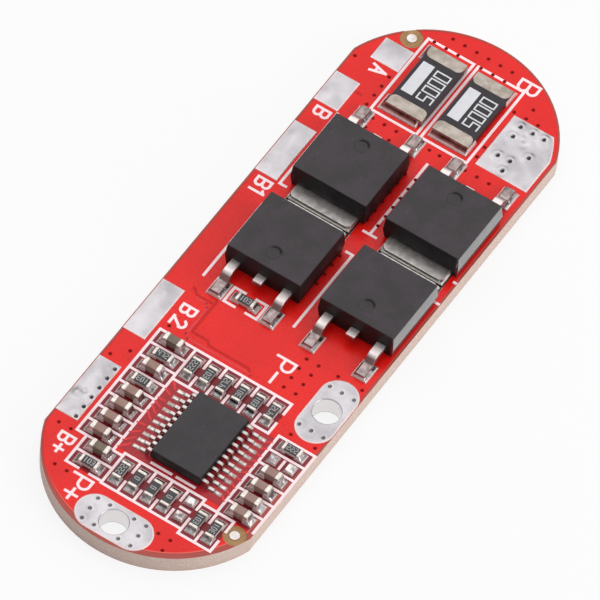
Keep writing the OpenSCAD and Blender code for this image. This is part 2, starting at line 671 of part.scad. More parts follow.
module solder_fillets() {
    color("gainsboro") {
        for (s = concat(capacitors, resistors, links)) at_seat(s) for (e = [0, 180])
            rotate([0, 0, e]) translate([chip_l / 2, 0, 0])
                fillet(land_toe * toe_fill, (s[0] == "C" ? cap_h : res_h) * fillet_climb, chip_w);
        for (s = empties) at_seat(s) for (e = [-1, 1]) translate([e * land_off, 0, 0]) blob();
        for (f = fets, e = [-1, 1]) translate([f[0], f[1], land_top]) rotate([0, 0, f[2] + 180])
            translate([fet_l / 2 + fet_lead_out, e * fet_lead_pitch, 0])
                fillet(fet_land_toe, fet_metal_t * fillet_climb, fet_lead_w);
        for (y = shunt_ys) translate([shunt_x, y, land_top]) for (e = [0, 180])
            rotate([0, 0, e]) translate([shunt_l / 2, 0, 0])
                fillet(shunt_land_toe * toe_fill, shunt_h * fillet_climb, shunt_w - 2 * shunt_drop);
    }
}

// ---- moulded packages ----
// a moulded block that leans in above and below its parting line
module moulding(l, w, z0, z1, draft) {
    part_z = z0 + (z1 - z0) * 0.45;
    side = function (size) [[-size / 2 + draft, z0], [size / 2 - draft, z0], [size / 2, part_z],
        [size / 2 - draft, z1], [-size / 2 + draft, z1], [-size / 2, part_z]];
    intersection() {
        rotate([90, 0, 0]) linear_extrude(w + 1, center = true) polygon(side(l));
        rotate([90, 0, 90]) linear_extrude(l + 1, center = true) polygon(side(w));
    }
}

module at_ctrl() {
    translate([ctrl_x, ctrl_y, land_top]) children();
}

ctrl_root = 0.3; // how deep a lead is held in the moulding
module ctrl_lead_set() {
    for (i = [0:ctrl_leads - 1], turn = [0, 180]) rotate([0, 0, turn])
        translate([(i - (ctrl_leads - 1) / 2) * ctrl_pitch, ctrl_w / 2, 0]) rotate([90, 0, 90])
            linear_extrude(ctrl_lead_w, center = true)
                polygon(gull(-ctrl_root, ctrl_shoulder, ctrl_lead_out, ctrl_lead_z, ctrl_bend_r,
                             ctrl_bend_angle, ctrl_lead_t));
}

module controller_body() {
    color("dimgray") at_ctrl() difference() {
        moulding(ctrl_l, ctrl_w, ctrl_standoff, ctrl_h, ctrl_draft);
        ctrl_lead_set();
    }
}

module controller_leads() {
    color("silver") at_ctrl() ctrl_lead_set();
}

// transistor in its own frame: moulding centred, leads to -X, tab to +X
fet_root = 0.7; // how deep a lead is held in the moulding
module fet_lead_pair() {
    for (e = [-1, 1]) translate([-fet_l / 2, e * fet_lead_pitch, 0]) rotate([90, 0, 180])
        linear_extrude(fet_lead_w, center = true)
            polygon(gull(-fet_root, fet_shoulder, fet_lead_out, fet_lead_rise + fet_metal_t / 2,
                         fet_bend_r, fet_bend_angle, fet_metal_t));
}

// tab plate, the step that climbs from it inside the moulding, and the cropped middle lead
module fet_tab_shape() {
    tip = fet_l / 2 + tab_out;
    half = tab_w / 2;
    union() {
        linear_extrude(fet_metal_t) polygon([[-tab_in, -half], [tip - tab_chamfer, -half],
            [tip, tab_chamfer - half], [tip, half - tab_chamfer], [tip - tab_chamfer, half],
            [-tab_in, half]]);
        translate([-tab_in, -fet_lead_w / 2, 0]) cube([fet_metal_t, fet_lead_w, fet_lead_rise + fet_metal_t]);
        translate([-fet_l / 2 - fet_stub_out, -fet_lead_w / 2, fet_lead_rise])
            cube([fet_l / 2 - tab_in + fet_stub_out + fet_metal_t, fet_lead_w, fet_metal_t]);
    }
}

module at_fet(i) {
    translate([fets[i][0], fets[i][1], land_top]) rotate([0, 0, fets[i][2]]) children();
}

module transistor_body(i) {
    color("#3c383b") at_fet(i) difference() {
        moulding(fet_l, fet_w, 0, fet_h, fet_draft);
        fet_tab_shape();
        fet_lead_pair();
        translate([-fet_l / 4, 0, fet_h - fet_mark_t]) cylinder(d = fet_mark_d, h = fet_mark_t + cut);
    }
}

module transistor_drain_tab(i) {
    color("silver") at_fet(i) fet_tab_shape();
}

module transistor_leads(i) {
    color("silver") at_fet(i) fet_lead_pair();
}

// ---- shunts and chips ----
// the outside of a shunt's two end caps, their inner corners rounded
module shunt_caps() {
    for (e = [0, 180]) rotate([0, 0, e]) translate([shunt_l / 2 - shunt_term_l, 0, 0]) union() {
        translate([shunt_corner_r, -shunt_w / 2, 0]) cube([shunt_term_l - shunt_corner_r, shunt_w, shunt_h]);
        translate([0, -shunt_w / 2 + shunt_corner_r, 0])
            cube([shunt_corner_r, shunt_w - 2 * shunt_corner_r, shunt_h]);
        for (s = [-1, 1]) translate([shunt_corner_r, s * (shunt_w / 2 - shunt_corner_r), 0])
            cylinder(r = shunt_corner_r, h = shunt_h);
    }
}

// the ceramic core, and the coat that fills up to the caps' height between them
module shunt_core() {
    translate([-shunt_l / 2 + shunt_term_t, -shunt_w / 2 + shunt_term_t, shunt_term_t])
        cube([shunt_l - 2 * shunt_term_t, shunt_w - 2 * shunt_term_t, shunt_h - 2 * shunt_term_t]);
}

module at_shunt(i) {
    translate([shunt_x, shunt_ys[i], land_top]) children();
}

module shunt(i) {
    flat = shunt_l - 2 * shunt_term_l + 2 * shunt_corner_r;
    color("#2e2b2f") at_shunt(i) union() {
        shunt_core();
        difference() {
            translate([-flat / 2, -shunt_w / 2, shunt_term_t]) cube([flat, shunt_w, shunt_h - shunt_term_t]);
            shunt_caps();
        }
    }
}

module shunt_terminals() {
    color("#c9bfb0") for (i = [0, 1]) at_shunt(i) difference() {
        shunt_caps();
        shunt_core();
    }
}

module chip_core(h) {
    translate([-chip_l / 2 + chip_term_t, -chip_w / 2 + chip_term_t, chip_term_t])
        cube([chip_l - 2 * chip_term_t, chip_w - 2 * chip_term_t, h - 2 * chip_term_t]);
}

module capacitor(i) {
    color("#8f766b") at_seat(capacitors[i]) chip_core(cap_h);
}

module resistor(i) {
    color("#2b2a2c") at_seat(resistors[i]) chip_core(res_h);
}

module zero_ohm_links() {
    color("#2b2a2c") for (s = links) at_seat(s) chip_core(res_h);
}

module end_caps(h, l) {
    difference() {
        for (e = [-1, 1]) translate([e * (chip_l - l) / 2 - l / 2, -chip_w / 2, 0]) cube([l, chip_w, h]);
        chip_core(h);
    }
}

module chip_terminals() {
    color("#d8d2c8") {
        for (s = capacitors) at_seat(s) end_caps(cap_h, cap_term_l);
        for (s = concat(resistors, links)) at_seat(s) end_caps(res_h, res_term_l);
    }
}

// ---- white print ----
// a straight line between two points that share an x or a y
module line(a, b) {
    translate([min(a[0], b[0]) - line_w / 2, min(a[1], b[1]) - line_w / 2, board_t])
        cube([abs(b[0] - a[0]) + line_w, abs(b[1] - a[1]) + line_w, print_t]);
}

// a line from a to b that leaves its middle open
module open_line(a, b, open) {
    d = b - a;
    n = norm(d);
    line(a, a + d * (n - open) / 2 / n);
    line(b, b - d * (n - open) / 2 / n);
}

// figures and letters, drawn in a box h high and 0.66 h wide, in strokes s wide
module ring_part(r, s, h, from, to) {
    rotate([0, 0, from]) rotate_extrude(angle = to - from) translate([r - s, 0]) square([s, h]);
}

module bar(x, y, l, w, t) {
    translate([x, y, 0]) cube([l, w, t]);
}

module slanted(a, b, s, t) {
    d = b - a;
    translate([a[0], a[1], 0]) rotate([0, 0, atan2(d[1], d[0])]) translate([0, -s / 2, 0])
        cube([norm(d), s, t]);
}

module glyph(c, h, s, t) {
    w = 0.66 * h;
    if (c == "B") {
        r = (h + s) / 4;
        bar(0, 0, s, h, t);
        for (y = [0, (h - s) / 2, h - s]) bar(0, y, w - r, s, t);
        for (y = [r, h - r]) translate([w - r, y, 0]) ring_part(r, s, t, -90, 90);
    }
    if (c == "P") {
        r = 0.31 * h;
        bar(0, 0, s, h, t);
        for (y = [h - 2 * r, h - s]) bar(0, y, w - r, s, t);
        translate([w - r, h - r, 0]) ring_part(r, s, t, -90, 90);
    }
    if (c == "A") {
        slanted([s / 2, 0], [w / 2, h - s / 2], s, t);
        slanted([w - s / 2, 0], [w / 2, h - s / 2], s, t);
        bar(w / 2 - s / 2, h - 1.4 * s, s, 1.4 * s, t);
        bar(w * 0.2, h * 0.28, w * 0.6, s, t);
    }
    if (c == "1") {
        bar(w / 2 - s / 2, 0, s, h, t);
        slanted([w / 2 - 1.5 * s, h - 1.6 * s], [w / 2 + s / 4, h - s / 2], s, t);
    }
    if (c == "2") {
        r = w / 2;
        translate([r, h - r, 0]) ring_part(r, s, t, -20, 170);
        slanted([s * 0.7, s / 2], [w - s * 0.75, h - r - 0.02], s, t);
        bar(0, 0, w, s, t);
    }
    if (c == "+") {
        bar(0, h / 2 - s / 2, w, s, t);
        bar(w / 2 - s / 2, h / 2 - w / 2, s, w, t);
    }
    if (c == "-") bar(0, h / 2 - s / 2, w, s, t);
}

// marks read towards -X, so they are turned by half a turn about their middle
module terminal_mark(chars, x, y, h, gap) {
    step = 0.66 * h + gap;
    translate([x, y, board_t]) rotate([0, 0, 180])
        translate([-(len(chars) * step - gap) / 2, -h / 2, 0])
            for (i = [0:len(chars) - 1]) translate([i * step, 0, 0]) glyph(chars[i], h, line_w, print_t);
}

// frames of a row of upright cells: two rails and the lines between the cells
module row_frame(x0, y, cells) {
    x1 = x0 + cells * row_pitch;
    for (s = [-1, 1]) line([x0, y + s * cell_l / 2], [x1, y + s * cell_l / 2]);
    for (i = [1:cells]) line([x0 + i * row_pitch, y - cell_l / 2], [x0 + i * row_pitch, y + cell_l / 2]);
}

// dividers of a column of cells, open in the middle where the chips' sides meet
module column_dividers(x, top, cells) {
    for (i = [1:cells]) open_line([x - cell_l / 2, top - i * column_pitch],
                                  [x + cell_l / 2, top - i * column_pitch], divider_open);
}

module chip_frames() {
    row_frame(upper_x, upper_y, upper_cells);
    line([upper_x, upper_y - cell_l / 2], [upper_x, upper_y + cell_l / 2]);
    row_frame(lower_x, lower_y, lower_cells);
    // corner pair, its left side open in the middle
    corner_x = upper_x - 2 * row_pitch;
    line([corner_x, corner_y + cell_l / 2], [upper_x, corner_y + cell_l / 2]);
    line([corner_x, left_top], [upper_x, left_top]);
    line([corner_x + row_pitch, left_top], [corner_x + row_pitch, corner_y + cell_l / 2]);
    line([upper_x, left_top], [upper_x, right_top]);
    open_line([corner_x, left_top], [corner_x, corner_y + cell_l / 2], divider_open);
    // left column and the pair set out below it
    for (s = [-1, 1]) line([left_x + s * cell_l / 2, left_top], [left_x + s * cell_l / 2, left_bottom]);
    line([upper_x, left_top], [left_x + cell_l / 2, left_top]);
    column_dividers(left_x, left_top, left_cells);
    for (s = [-1, 1]) line([left_x - pair_shift + s * cell_l / 2, left_bottom],
                           [left_x - pair_shift + s * cell_l / 2, left_bottom - 2 * column_pitch]);
    column_dividers(left_x - pair_shift, left_bottom, 2);
    line([left_x - pair_shift - cell_l / 2, left_bottom], [left_x - cell_l / 2, left_bottom]);
    // right column, its left side open beside the controller
    line([right_x + cell_l / 2, right_top], [right_x + cell_l / 2, right_top - right_cells * column_pitch]);
    line([right_x - cell_l / 2, right_top], [right_x - cell_l / 2, ctrl_y + ctrl_w / 2]);
    line([right_x - cell_l / 2, right_top - right_cells * column_pitch],
         [right_x - cell_l / 2, right_top - (right_cells - 1) * column_pitch]);
    column_dividers(right_x, right_top, right_cells);
}

// a short dash between the two lands of an empty seat
module empty_dashes() {
    half = chip_w / 2;
    for (s = empties) line([s[1], s[2]] - half * [cos(s[3] + 90), sin(s[3] + 90)],
                           [s[1], s[2]] + half * [cos(s[3] + 90), sin(s[3] + 90)]);
}

module controller_bars() {
    x = ctrl_x - ctrl_l / 2 - line_w;
    inset = 0.35;
    line([x, ctrl_y - ctrl_w / 2 + inset], [x, ctrl_y - inset]);
    line([x, ctrl_y + inset / 2], [x, ctrl_y + ctrl_w / 2 - inset]);
}

module transistor_lines() {
    above = pad_y - fet_pad_gap / 3;
    between = (fet_low_y + fet_high_y) / 2 + 0.05;
    tick = fet_row_gap / 3;
    end_a = fet_a_x + fet_l / 2;
    start_a = fet_a_x - fet_l / 2 - fet_land_l;
    start_b = fet_b_x - fet_l / 2 - tab_gap;
    end_b = fet_b_x + fet_l / 2 + fet_land_w;
    for (y = [above, between]) {
        line([start_a, y], [end_a, y]);
        line([start_b, y], [end_b, y]);
    }
    line([end_a, between], [end_a, between + tick]);
    line([start_b, above], [start_b, above - tick]);
    line([start_b, between - tick], [start_b, between + tick]);
    for (x = [end_a, start_b]) line([x, low + line_w], [x, low + 1.5 * line_w]);
    // frame of the gate resistor, between the lands of the leads, open at the middle of its sides
    half = land_w / 2 + cell_gap;
    rail = fet_lead_pitch - (fet_land_w + line_w) / 2 - score_inset;
    for (s = [-1, 1]) {
        open_line([gate_x + s * half, fet_high_y - rail], [gate_x + s * half, fet_high_y + rail],
                  divider_open);
        line([gate_x - half, fet_high_y + s * rail], [gate_x + half, fet_high_y + s * rail]);
    }
}

module shunt_frames() {
    for (y = [frame_1_y, frame_2_y], s = [-1, 1]) {
        line([shunt_x - shunt_frame_l / 2, y + s * shunt_frame_w / 2],
             [shunt_x + shunt_frame_l / 2, y + s * shunt_frame_w / 2]);
        line([shunt_x + s * shunt_frame_l / 2, y - shunt_frame_w / 2],
             [shunt_x + s * shunt_frame_l / 2, y + shunt_frame_w / 2]);
    }
}

// each stands beside its own pad, lug or frame
module terminal_marks() {
    terminal_mark("B+", upper_x - 1.6, pad_y - 0.2, mark_small, 0.1);
    terminal_mark("P+", lug_plus_x + 0.9, lug_plus_y + lug_plus_l / 2 + 0.75, mark_large, 0.05);
    terminal_mark("B2", pad_b2_x + pad_b2_l - 2, pad_y - 1.15, mark_small, 0.35);
    terminal_mark("B1", pad_b1_x - 1.2, pad_y + 0.72, mark_small, 0);
    terminal_mark("B", pad_b_x - 0.75, pad_y + 0.72, mark_small, 0);
    terminal_mark("A", pad_a_x - 0.65, pad_a_y + 1.3, mark_small, 0);
    terminal_mark("B", frame_right + 0.52, frame_2_y - shunt_frame_w / 2 - 0.05, mark_large, 0);
    terminal_mark("P-", lug_minus_x + 0.95, lug_minus_y + lug_w / 2 + 3.3, mark_large, 0.2);
}

module legend_print() {
    color("white") difference() {
        union() {
            chip_frames();
            empty_dashes();
            controller_bars();
            transistor_lines();
            shunt_frames();
            terminal_marks();
        }
        via_holes(vias, board_t, board_t + print_t);
    }
}

// the block and the plain figures on the shunts
module box_figure(c, h, s, t) {
    w = 0.5 * h;
    if (c == "0" || c == "5") for (y = [0, h - s]) bar(0, y, w, s, t);
    if (c == "0") for (x = [0, w - s]) bar(x, 0, s, h, t);
    if (c == "5") {
        bar(0, (h - s) / 2, w, s, t);
        bar(0, h / 2, s, h / 2, t);
        bar(w - s, 0, s, h / 2, t);
    }
}

module shunt_marks() {
    chars = "5000";
    step = mark_l / len(chars);
    inset = (shunt_w - mark_w - figure_h) / 3;
    color("white") for (i = [0, 1]) at_shunt(i) translate([0, 0, shunt_h]) {
        translate([-mark_l / 2, shunt_w / 2 - mark_w - inset, 0]) cube([mark_l, mark_w, print_t]);
        for (k = [0:len(chars) - 1]) translate([-mark_l / 2 + k * step, inset - shunt_w / 2, 0])
            union() box_figure(chars[k], figure_h, figure_stroke, print_t);
    }
}

board_laminate();
solder_mask_top();
solder_mask_bottom();
legend_print();
component_lands();
solder_fillets();
lug_p_plus();
lug_p_minus();
edge_pad(0);  // pad_b_plus
edge_pad(1);  // pad_b2
edge_pad(2);  // pad_b1
edge_pad(3);  // pad_b
edge_pad(4);  // pad_a
pad_b_minus();
controller_body();
controller_leads();
for (i = [1:4]) {
    transistor_body(i - 1);
    transistor_drain_tab(i - 1);
    transistor_leads(i - 1);
}
shunt(0);  // shunt_1
shunt(1);  // shunt_2
shunt_terminals();
shunt_marks();
zero_ohm_links();
for (i = [1:11]) capacitor(i - 1);
for (i = [1:14]) resistor(i - 1);
chip_terminals();
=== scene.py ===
# Battery management board: the looks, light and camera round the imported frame.
import bpy
import bmesh
import math
import numpy as np
from mathutils import Matrix, Vector


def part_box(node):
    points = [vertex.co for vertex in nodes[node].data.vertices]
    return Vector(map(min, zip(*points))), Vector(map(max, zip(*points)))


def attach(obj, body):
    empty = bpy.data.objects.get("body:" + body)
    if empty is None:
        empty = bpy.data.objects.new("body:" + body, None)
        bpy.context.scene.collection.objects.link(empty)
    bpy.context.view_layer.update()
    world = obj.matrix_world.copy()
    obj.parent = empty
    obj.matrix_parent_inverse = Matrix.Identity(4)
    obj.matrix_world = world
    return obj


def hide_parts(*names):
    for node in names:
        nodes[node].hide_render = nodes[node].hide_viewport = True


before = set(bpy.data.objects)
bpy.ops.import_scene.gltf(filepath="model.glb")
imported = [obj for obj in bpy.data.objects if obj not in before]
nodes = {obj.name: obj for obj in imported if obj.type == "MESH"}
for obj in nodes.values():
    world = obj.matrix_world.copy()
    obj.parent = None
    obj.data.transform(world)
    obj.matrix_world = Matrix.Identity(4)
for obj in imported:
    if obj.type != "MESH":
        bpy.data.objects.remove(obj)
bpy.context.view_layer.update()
mm = 1e-3  # everything below is written in millimetres, and times mm where Blender reads it
print("frame loaded:", len(nodes), "nodes")


# one socket of a material, with arithmetic that adds Math nodes
class Signal:
    def __init__(self, tree, socket=None):
        self.tree, self.socket = tree, socket

    # any node: its settings, then the values or links of its sockets
    def node(self, kind, settings, sockets, out=0):
        made = self.tree.nodes.new(kind)
        for name, value in settings.items():
            if name == "stops":
                ramp = made.color_ramp
                while len(ramp.elements) < len(value):
                    ramp.elements.new(0.5)
                for element, (place, colour) in zip(ramp.elements, value):
                    element.position, element.color = place, (*colour, 1)
            else:
                setattr(made, name, value)
        for name, value in sockets.items():
            if isinstance(value, Signal):
                self.tree.links.new(value.socket, made.inputs[name])
            else:
                made.inputs[name].default_value = value
        return Signal(self.tree, made.outputs[out])

    def math(self, operation, first, second=0.0):
        return self.node("ShaderNodeMath", {"operation": operation}, {0: first, 1: second})

    def __add__(self, other): return self.math("ADD", self, other)
    def __radd__(self, other): return self.math("ADD", other, self)
    def __sub__(self, other): return self.math("SUBTRACT", self, other)
    def __rsub__(self, other): return self.math("SUBTRACT", other, self)
    def __mul__(self, other): return self.math("MULTIPLY", self, other)
    def __rmul__(self, other): return self.math("MULTIPLY", other, self)
    def __truediv__(self, other): return self.math("DIVIDE", self, other)
    def __rtruediv__(self, other): return self.math("DIVIDE", other, self)
    def __abs__(self): return self.math("ABSOLUTE", self)
    def root(self): return self.math("SQRT", self)
    def atLeast(self, other): return self.math("MAXIMUM", self, other)
    def atMost(self, other): return self.math("MINIMUM", self, other)

    # 0 below low, 1 above high, smooth between
    def step(self, low, high):
        return self.node("ShaderNodeMapRange", {"interpolation_type": "SMOOTHSTEP"},
                         {"Value": self, "From Min": low, "From Max": high, "To Min": 0.0, "To Max": 1.0})

    # between two colours, this signal being the share of the second
    def blend(self, first, second):
        def colour(c): return c if isinstance(c, Signal) else (*c, 1)
        return self.node("ShaderNodeMix", {"data_type": "RGBA", "clamp_factor": True},
                         {0: self, 6: colour(first), 7: colour(second)}, 2)


# a material: constants on the shader's own sockets, patterns linked in afterwards
class Paint:
    def __init__(self, name, **constants):
        self.material = bpy.data.materials.new(name)
        self.material.use_nodes = True
        self.tree = self.material.node_tree
        self.shader = self.tree.nodes["Principled BSDF"]
        for key, value in constants.items():
            socket = self.shader.inputs[key.replace("_", " ")]
            socket.default_value = (*value, 1) if isinstance(value, tuple) else value
        start = Signal(self.tree)
        metres = start.node("ShaderNodeTexCoord", {}, {}, 3)  # Object coordinates
        self.place = start.node("ShaderNodeVectorMath", {"operation": "SCALE"}, {0: metres, "Scale": 1 / mm})
        split = start.node("ShaderNodeSeparateXYZ", {}, {0: self.place}).socket.node
        self.x, self.y, self.z = (Signal(self.tree, out) for out in split.outputs)

    # noise with this many cells to the millimetre
    def noise(self, scale, detail=2.0, rough=0.5, stretch=None):
        at = self.place
        if stretch:
            at = at.node("ShaderNodeVectorMath", {"operation": "MULTIPLY"}, {0: at, 1: stretch})
        return at.node("ShaderNodeTexNoise", {}, {"Vector": at, "Scale": scale, "Detail": detail, "Roughness": rough})

    # a value kept on the mesh's points
    def mark(self, name):
        return self.place.node("ShaderNodeAttribute", {"attribute_name": name}, {}, 2)

    def link(self, name, signal):
        self.tree.links.new(signal.socket, self.shader.inputs[name])

    # a bump, its height in millimetres
    def bump(self, height):
        self.link("Normal", height.node("ShaderNodeBump", {}, {"Distance": mm, "Height": height}))

    # 1 inside a rectangle
    def box(self, x0, y0, x1, y1, soft=0.08):
        across = abs(self.x - (x0 + x1) / 2) - abs(x1 - x0) / 2
        along = abs(self.y - (y0 + y1) / 2) - abs(y1 - y0) / 2
        return 1.0 - across.atLeast(along).step(-soft / 2, soft / 2)

    # 1 on a straight line between two points: the nearest place on the line, then the distance from it
    def line(self, x0, y0, x1, y1, width, soft=0.08):
        dx, dy = x1 - x0, y1 - y0
        share = (((self.x - x0) * dx + (self.y - y0) * dy) / (dx * dx + dy * dy)).atLeast(0.0).atMost(1.0)
        offX, offY = self.x - x0 - share * dx, self.y - y0 - share * dy
        return 1.0 - (offX * offX + offY * offY).root().step((width - soft) / 2, (width + soft) / 2)


def finishPiece(made, replaced=()):
    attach(made, "root")
    if replaced:
        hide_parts(*replaced)


# a closed mesh object from points in millimetres and a list of faces, turned outwards
def piece(name, points, faces, paint, replaced=(), marks=None):
    mesh = bpy.data.meshes.new(name)
    mesh.from_pydata((np.asarray(points) * mm).tolist(), [], faces)
    shape = bmesh.new()
    shape.from_mesh(mesh)
    bmesh.ops.recalc_face_normals(shape, faces=shape.faces)
    shape.to_mesh(mesh)
    shape.free()
    mesh.polygons.foreach_set("use_smooth", [True] * len(mesh.polygons))
    for key, values in (marks or {}).items():
        mesh.attributes.new(key, "FLOAT", "POINT").data.foreach_set("value", np.asarray(values, np.float32).ravel())
    mesh.materials.append(paint.material)
    made = bpy.data.objects.new(name, mesh)
    bpy.context.scene.collection.objects.link(made)
    finishPiece(made, replaced)
    return made


# quads between rows of points, closed round the columns if asked, and round the rows too
def quads(rows, columns, roundColumns=False, roundRows=False):
    r = np.arange(rows if roundRows else rows - 1)[:, None]
    c = np.arange(columns if roundColumns else columns - 1)[None, :]
    s, d = (r + 1) % rows, (c + 1) % columns
    return np.stack([r * columns + c, r * columns + d, s * columns + d, s * columns + c], -1).reshape(-1, 4)


# many tubes of rows by columns points, a flat face over both ends of each
def tubeFaces(rows, columns, copies):
    start = np.arange(copies)[:, None] * rows * columns
    sides = (quads(rows, columns, True)[None] + start[..., None]).reshape(-1, 4)
    loop = np.arange(columns)[None] + start
    return sides.tolist() + loop[:, ::-1].tolist() + (loop + (rows - 1) * columns).tolist()


# a sheet of rows by columns points, closed by one flat face under its boundary
def sheetFaces(rows, columns, start=0):
    grid = np.arange(rows * columns).reshape(rows, columns) + start
    loop = np.concatenate([grid[0], grid[1:, -1], grid[-1, -2::-1], grid[-2:0:-1, 0]])
    return (quads(rows, columns) + start).tolist() + [loop[::-1].tolist()]


# bars with rounded edges, lying along x before their turn about z, in degrees: a rounded rectangle carried
# along, each end drawn in by a quarter circle; centres and sizes are rows of x, y, z
def roundedBars(centres, sizes, turns, corner, steps=3):
    centres, half = np.asarray(centres, float), np.asarray(sizes, float)[:, None, None] / 2
    quarter = np.linspace(0, math.pi / 2, steps + 1)
    angle = np.concatenate([quarter + k * math.pi / 2 for k in range(4)])
    signY, signZ = np.repeat([1, -1, -1, 1], steps + 1), np.repeat([1, 1, -1, -1], steps + 1)
    bend = np.concatenate([quarter, quarter[::-1]])[None, :, None]
    end = np.repeat([-1, 1], steps + 1)[None, :, None]
    x = end * (half[..., 0] - corner * (1 - np.cos(bend))) + 0 * angle
    y = signY * (half[..., 1] - corner) + corner * np.sin(bend) * np.cos(angle)
    z = signZ * (half[..., 2] - corner) + corner * np.sin(bend) * np.sin(angle)
    t = np.radians(np.asarray(turns, float))[:, None, None]
    points = np.stack([x * np.cos(t) - y * np.sin(t), x * np.sin(t) + y * np.cos(t), z], -1)
    points = points + centres[:, None, None]
    return points.reshape(-1, 3), tubeFaces(2 * steps + 2, len(angle), len(centres))


# a copy of a CAD node, its doubles merged and its edges rounded
def softened(name, paint, width, segments=2):
    made = nodes[name].copy()
    made.data = nodes[name].data.copy()
    made.name = name + "_soft"
    made.parent = None
    made.matrix_world = Matrix.Identity(4)
    shape = bmesh.new()
    shape.from_mesh(made.data)
    bmesh.ops.remove_doubles(shape, verts=shape.verts, dist=2e-6)
    bmesh.ops.dissolve_limit(shape, angle_limit=math.radians(1), verts=shape.verts, edges=shape.edges)
    shape.to_mesh(made.data)
    shape.free()
    made.modifiers.clear()
    bevel = made.modifiers.new("roundEdges", "BEVEL")
    bevel.width, bevel.segments = width * mm, segments
    bevel.limit_method, bevel.angle_limit = "ANGLE", math.radians(30)
    made.data.polygons.foreach_set("use_smooth", [True] * len(made.data.polygons))
    made.modifiers.new("flatFaces", "WEIGHTED_NORMAL")
    if not made.users_collection:
        bpy.context.scene.collection.objects.link(made)
    made.data.materials.clear()
    made.data.materials.append(paint.material)
    finishPiece(made, (name,))


def repaint(name, paint):
    held = nodes[name]
    for slot in held.material_slots:
        slot.material = paint.material
    if not held.material_slots:
        held.data.materials.append(paint.material)


# low and high corners of a CAD node, in millimetres
def boxOf(name):
    return np.array(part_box(name)) / mm


# the board: half its width at the scored edge, and its heights at the core's top and at the lands' tops;
# its copper ends short of the edge, and further short at the lower left
board = dict(coreZ=1.56, landZ=1.63, halfWidth=8.97, arcX=17.5, endRadius=9.5)
maskLook = dict(red=(0.80, 0.010, 0.006), deepRed=(0.72, 0.008, 0.006), bare=(0.22, 0.012, 0.020),
                underChip=(0.40, 0.018, 0.026), rim=(0.39, 0.065, 0.05), groove=(0.40, 0.008, 0.008),
                pullback=0.17, widePullback=0.42, copper=0.035, grooveWidth=0.16)

# the places without copper: x0, y0, x1, y1
bareAreas = [(-22.74, 2.66, -20.0, 5.7), (-20.0, 3.42, -9.04, 6.57), (-22.86, -4.43, -19.71, 2.55),
             (-23.28, -7.22, -20.13, -4.43), (-20.13, -8.88, -11.91, -5.73), (-12.19, -4.95, -9.04, 3.42)]
chipGround = (-19.55, -5.6, -12.3, 3.3)

# gaps between areas of copper: x0, y0, x1, y1
grooves = [(-8.7, -1.05, -8.22, -0.6), (-8.22, -0.6, -8.22, 2.85), (-8.22, 2.85, -7.9, 3.2), (-7.9, 3.2, -7.9, 4.5),
           (-7.9, 4.55, -4.6, 4.55), (-4.92, 4.55, -4.92, 6.1), (-4.92, 6.1, -4.5, 6.6), (17.3, 6.2, 17.3, 8.2)]


def maskPaint(name, upperSide):
    paint = Paint(name, Specular_IOR_Level=0.25)
    x, y = paint.x, paint.y
    # distance in from the outline: from the sides, or from the round ends past their centres
    beyond = (abs(x) - board["arcX"]).atLeast(0.0)
    radial = board["endRadius"] - (beyond * beyond + y * y).root()
    inset = (board["halfWidth"] - abs(y)).atMost(radial + 100.0 * (1.0 - beyond.step(0.0, 0.001)))
    cornerward = (x * -1.0 - y * 0.8).step(17.0, 25.0)
    rim = maskLook["pullback"] + (maskLook["widePullback"] - maskLook["pullback"]) * cornerward
    fromRim = inset - rim
    pour = fromRim.step(-0.05, 0.05)
    colour = paint.noise(0.35, 3.0).step(0.3, 0.7).blend(maskLook["red"], maskLook["deepRed"])
    relief = pour * maskLook["copper"]
    if upperSide:
        under = paint.box(*chipGround)
        colour = under.blend(colour, maskLook["underChip"])
        bare = None
        for area in bareAreas:
            bare = paint.box(*area) if bare is None else bare.atLeast(paint.box(*area))
        colour = bare.blend(colour, maskLook["bare"])
        gap = None
        for ends in grooves:
            one = paint.line(*ends, maskLook["grooveWidth"])
            gap = one if gap is None else gap.atLeast(one)
        colour = (gap * 0.7).blend(colour, maskLook["groove"])
        relief = relief - bare.atLeast(gap).atLeast(under) * maskLook["copper"]
    # painted highlight: the mask shows paler along the copper's rim, mostly towards the lower left
    copperRimHighlight = (1.0 - abs(fromRim - 0.05).step(0.0, 0.08)) * cornerward * 0.35
    colour = copperRimHighlight.blend(pour.blend(maskLook["rim"], colour), (0.90, 0.42, 0.36))
    paint.link("Base Color", colour)
    paint.link("Roughness", 0.22 + paint.noise(3.0, 3.0) * 0.12)
    paint.bump(relief + paint.noise(0.9) * 0.012)
    return paint


maskTop = maskPaint("redMaskTop", True)
repaint("solder_mask_top", maskTop)
repaint("solder_mask_bottom", maskPaint("redMaskBottom", False))

# cut fibre along the edge, tan resin where the mask leaves the board bare
laminate = Paint("cutLaminate", Roughness=0.7)
layers = laminate.noise(2.2, 4.0, 0.6, stretch=(0.5, 0.5, 6.0))
speck = laminate.noise(9.0).step(0.55, 0.75)
cut = speck.blend(layers.blend((0.50, 0.36, 0.30), (0.72, 0.57, 0.50)), (0.82, 0.71, 0.64))
resin = laminate.noise(1.5).blend((0.30, 0.15, 0.05), (0.46, 0.27, 0.12))
laminate.link("Base Color", laminate.z.step(board["coreZ"] - 0.01, board["coreZ"] - 0.002).blend(cut, resin))
laminate.bump(layers * 0.05 + speck * 0.03)
repaint("board_laminate", laminate)

ink = Paint("whiteInk", Roughness=0.55)
ink.link("Base Color", ink.noise(2.5, 3.0).blend((0.95, 0.74, 0.765), (0.99, 0.82, 0.84)))
ink.bump(ink.noise(12.0) * 0.01)
repaint("legend_print", ink)

# the mask sinks a little into each hole that isn't under a pad
tent = dict(radii=(0.165, 0.165, 0.13, 0.09, 0.045), heights=(1.40, 1.603, 1.588, 1.565, 1.552), sides=16,
            deep=(0.12, 0.004, 0.005), shallow=(0.42, 0.008, 0.008))
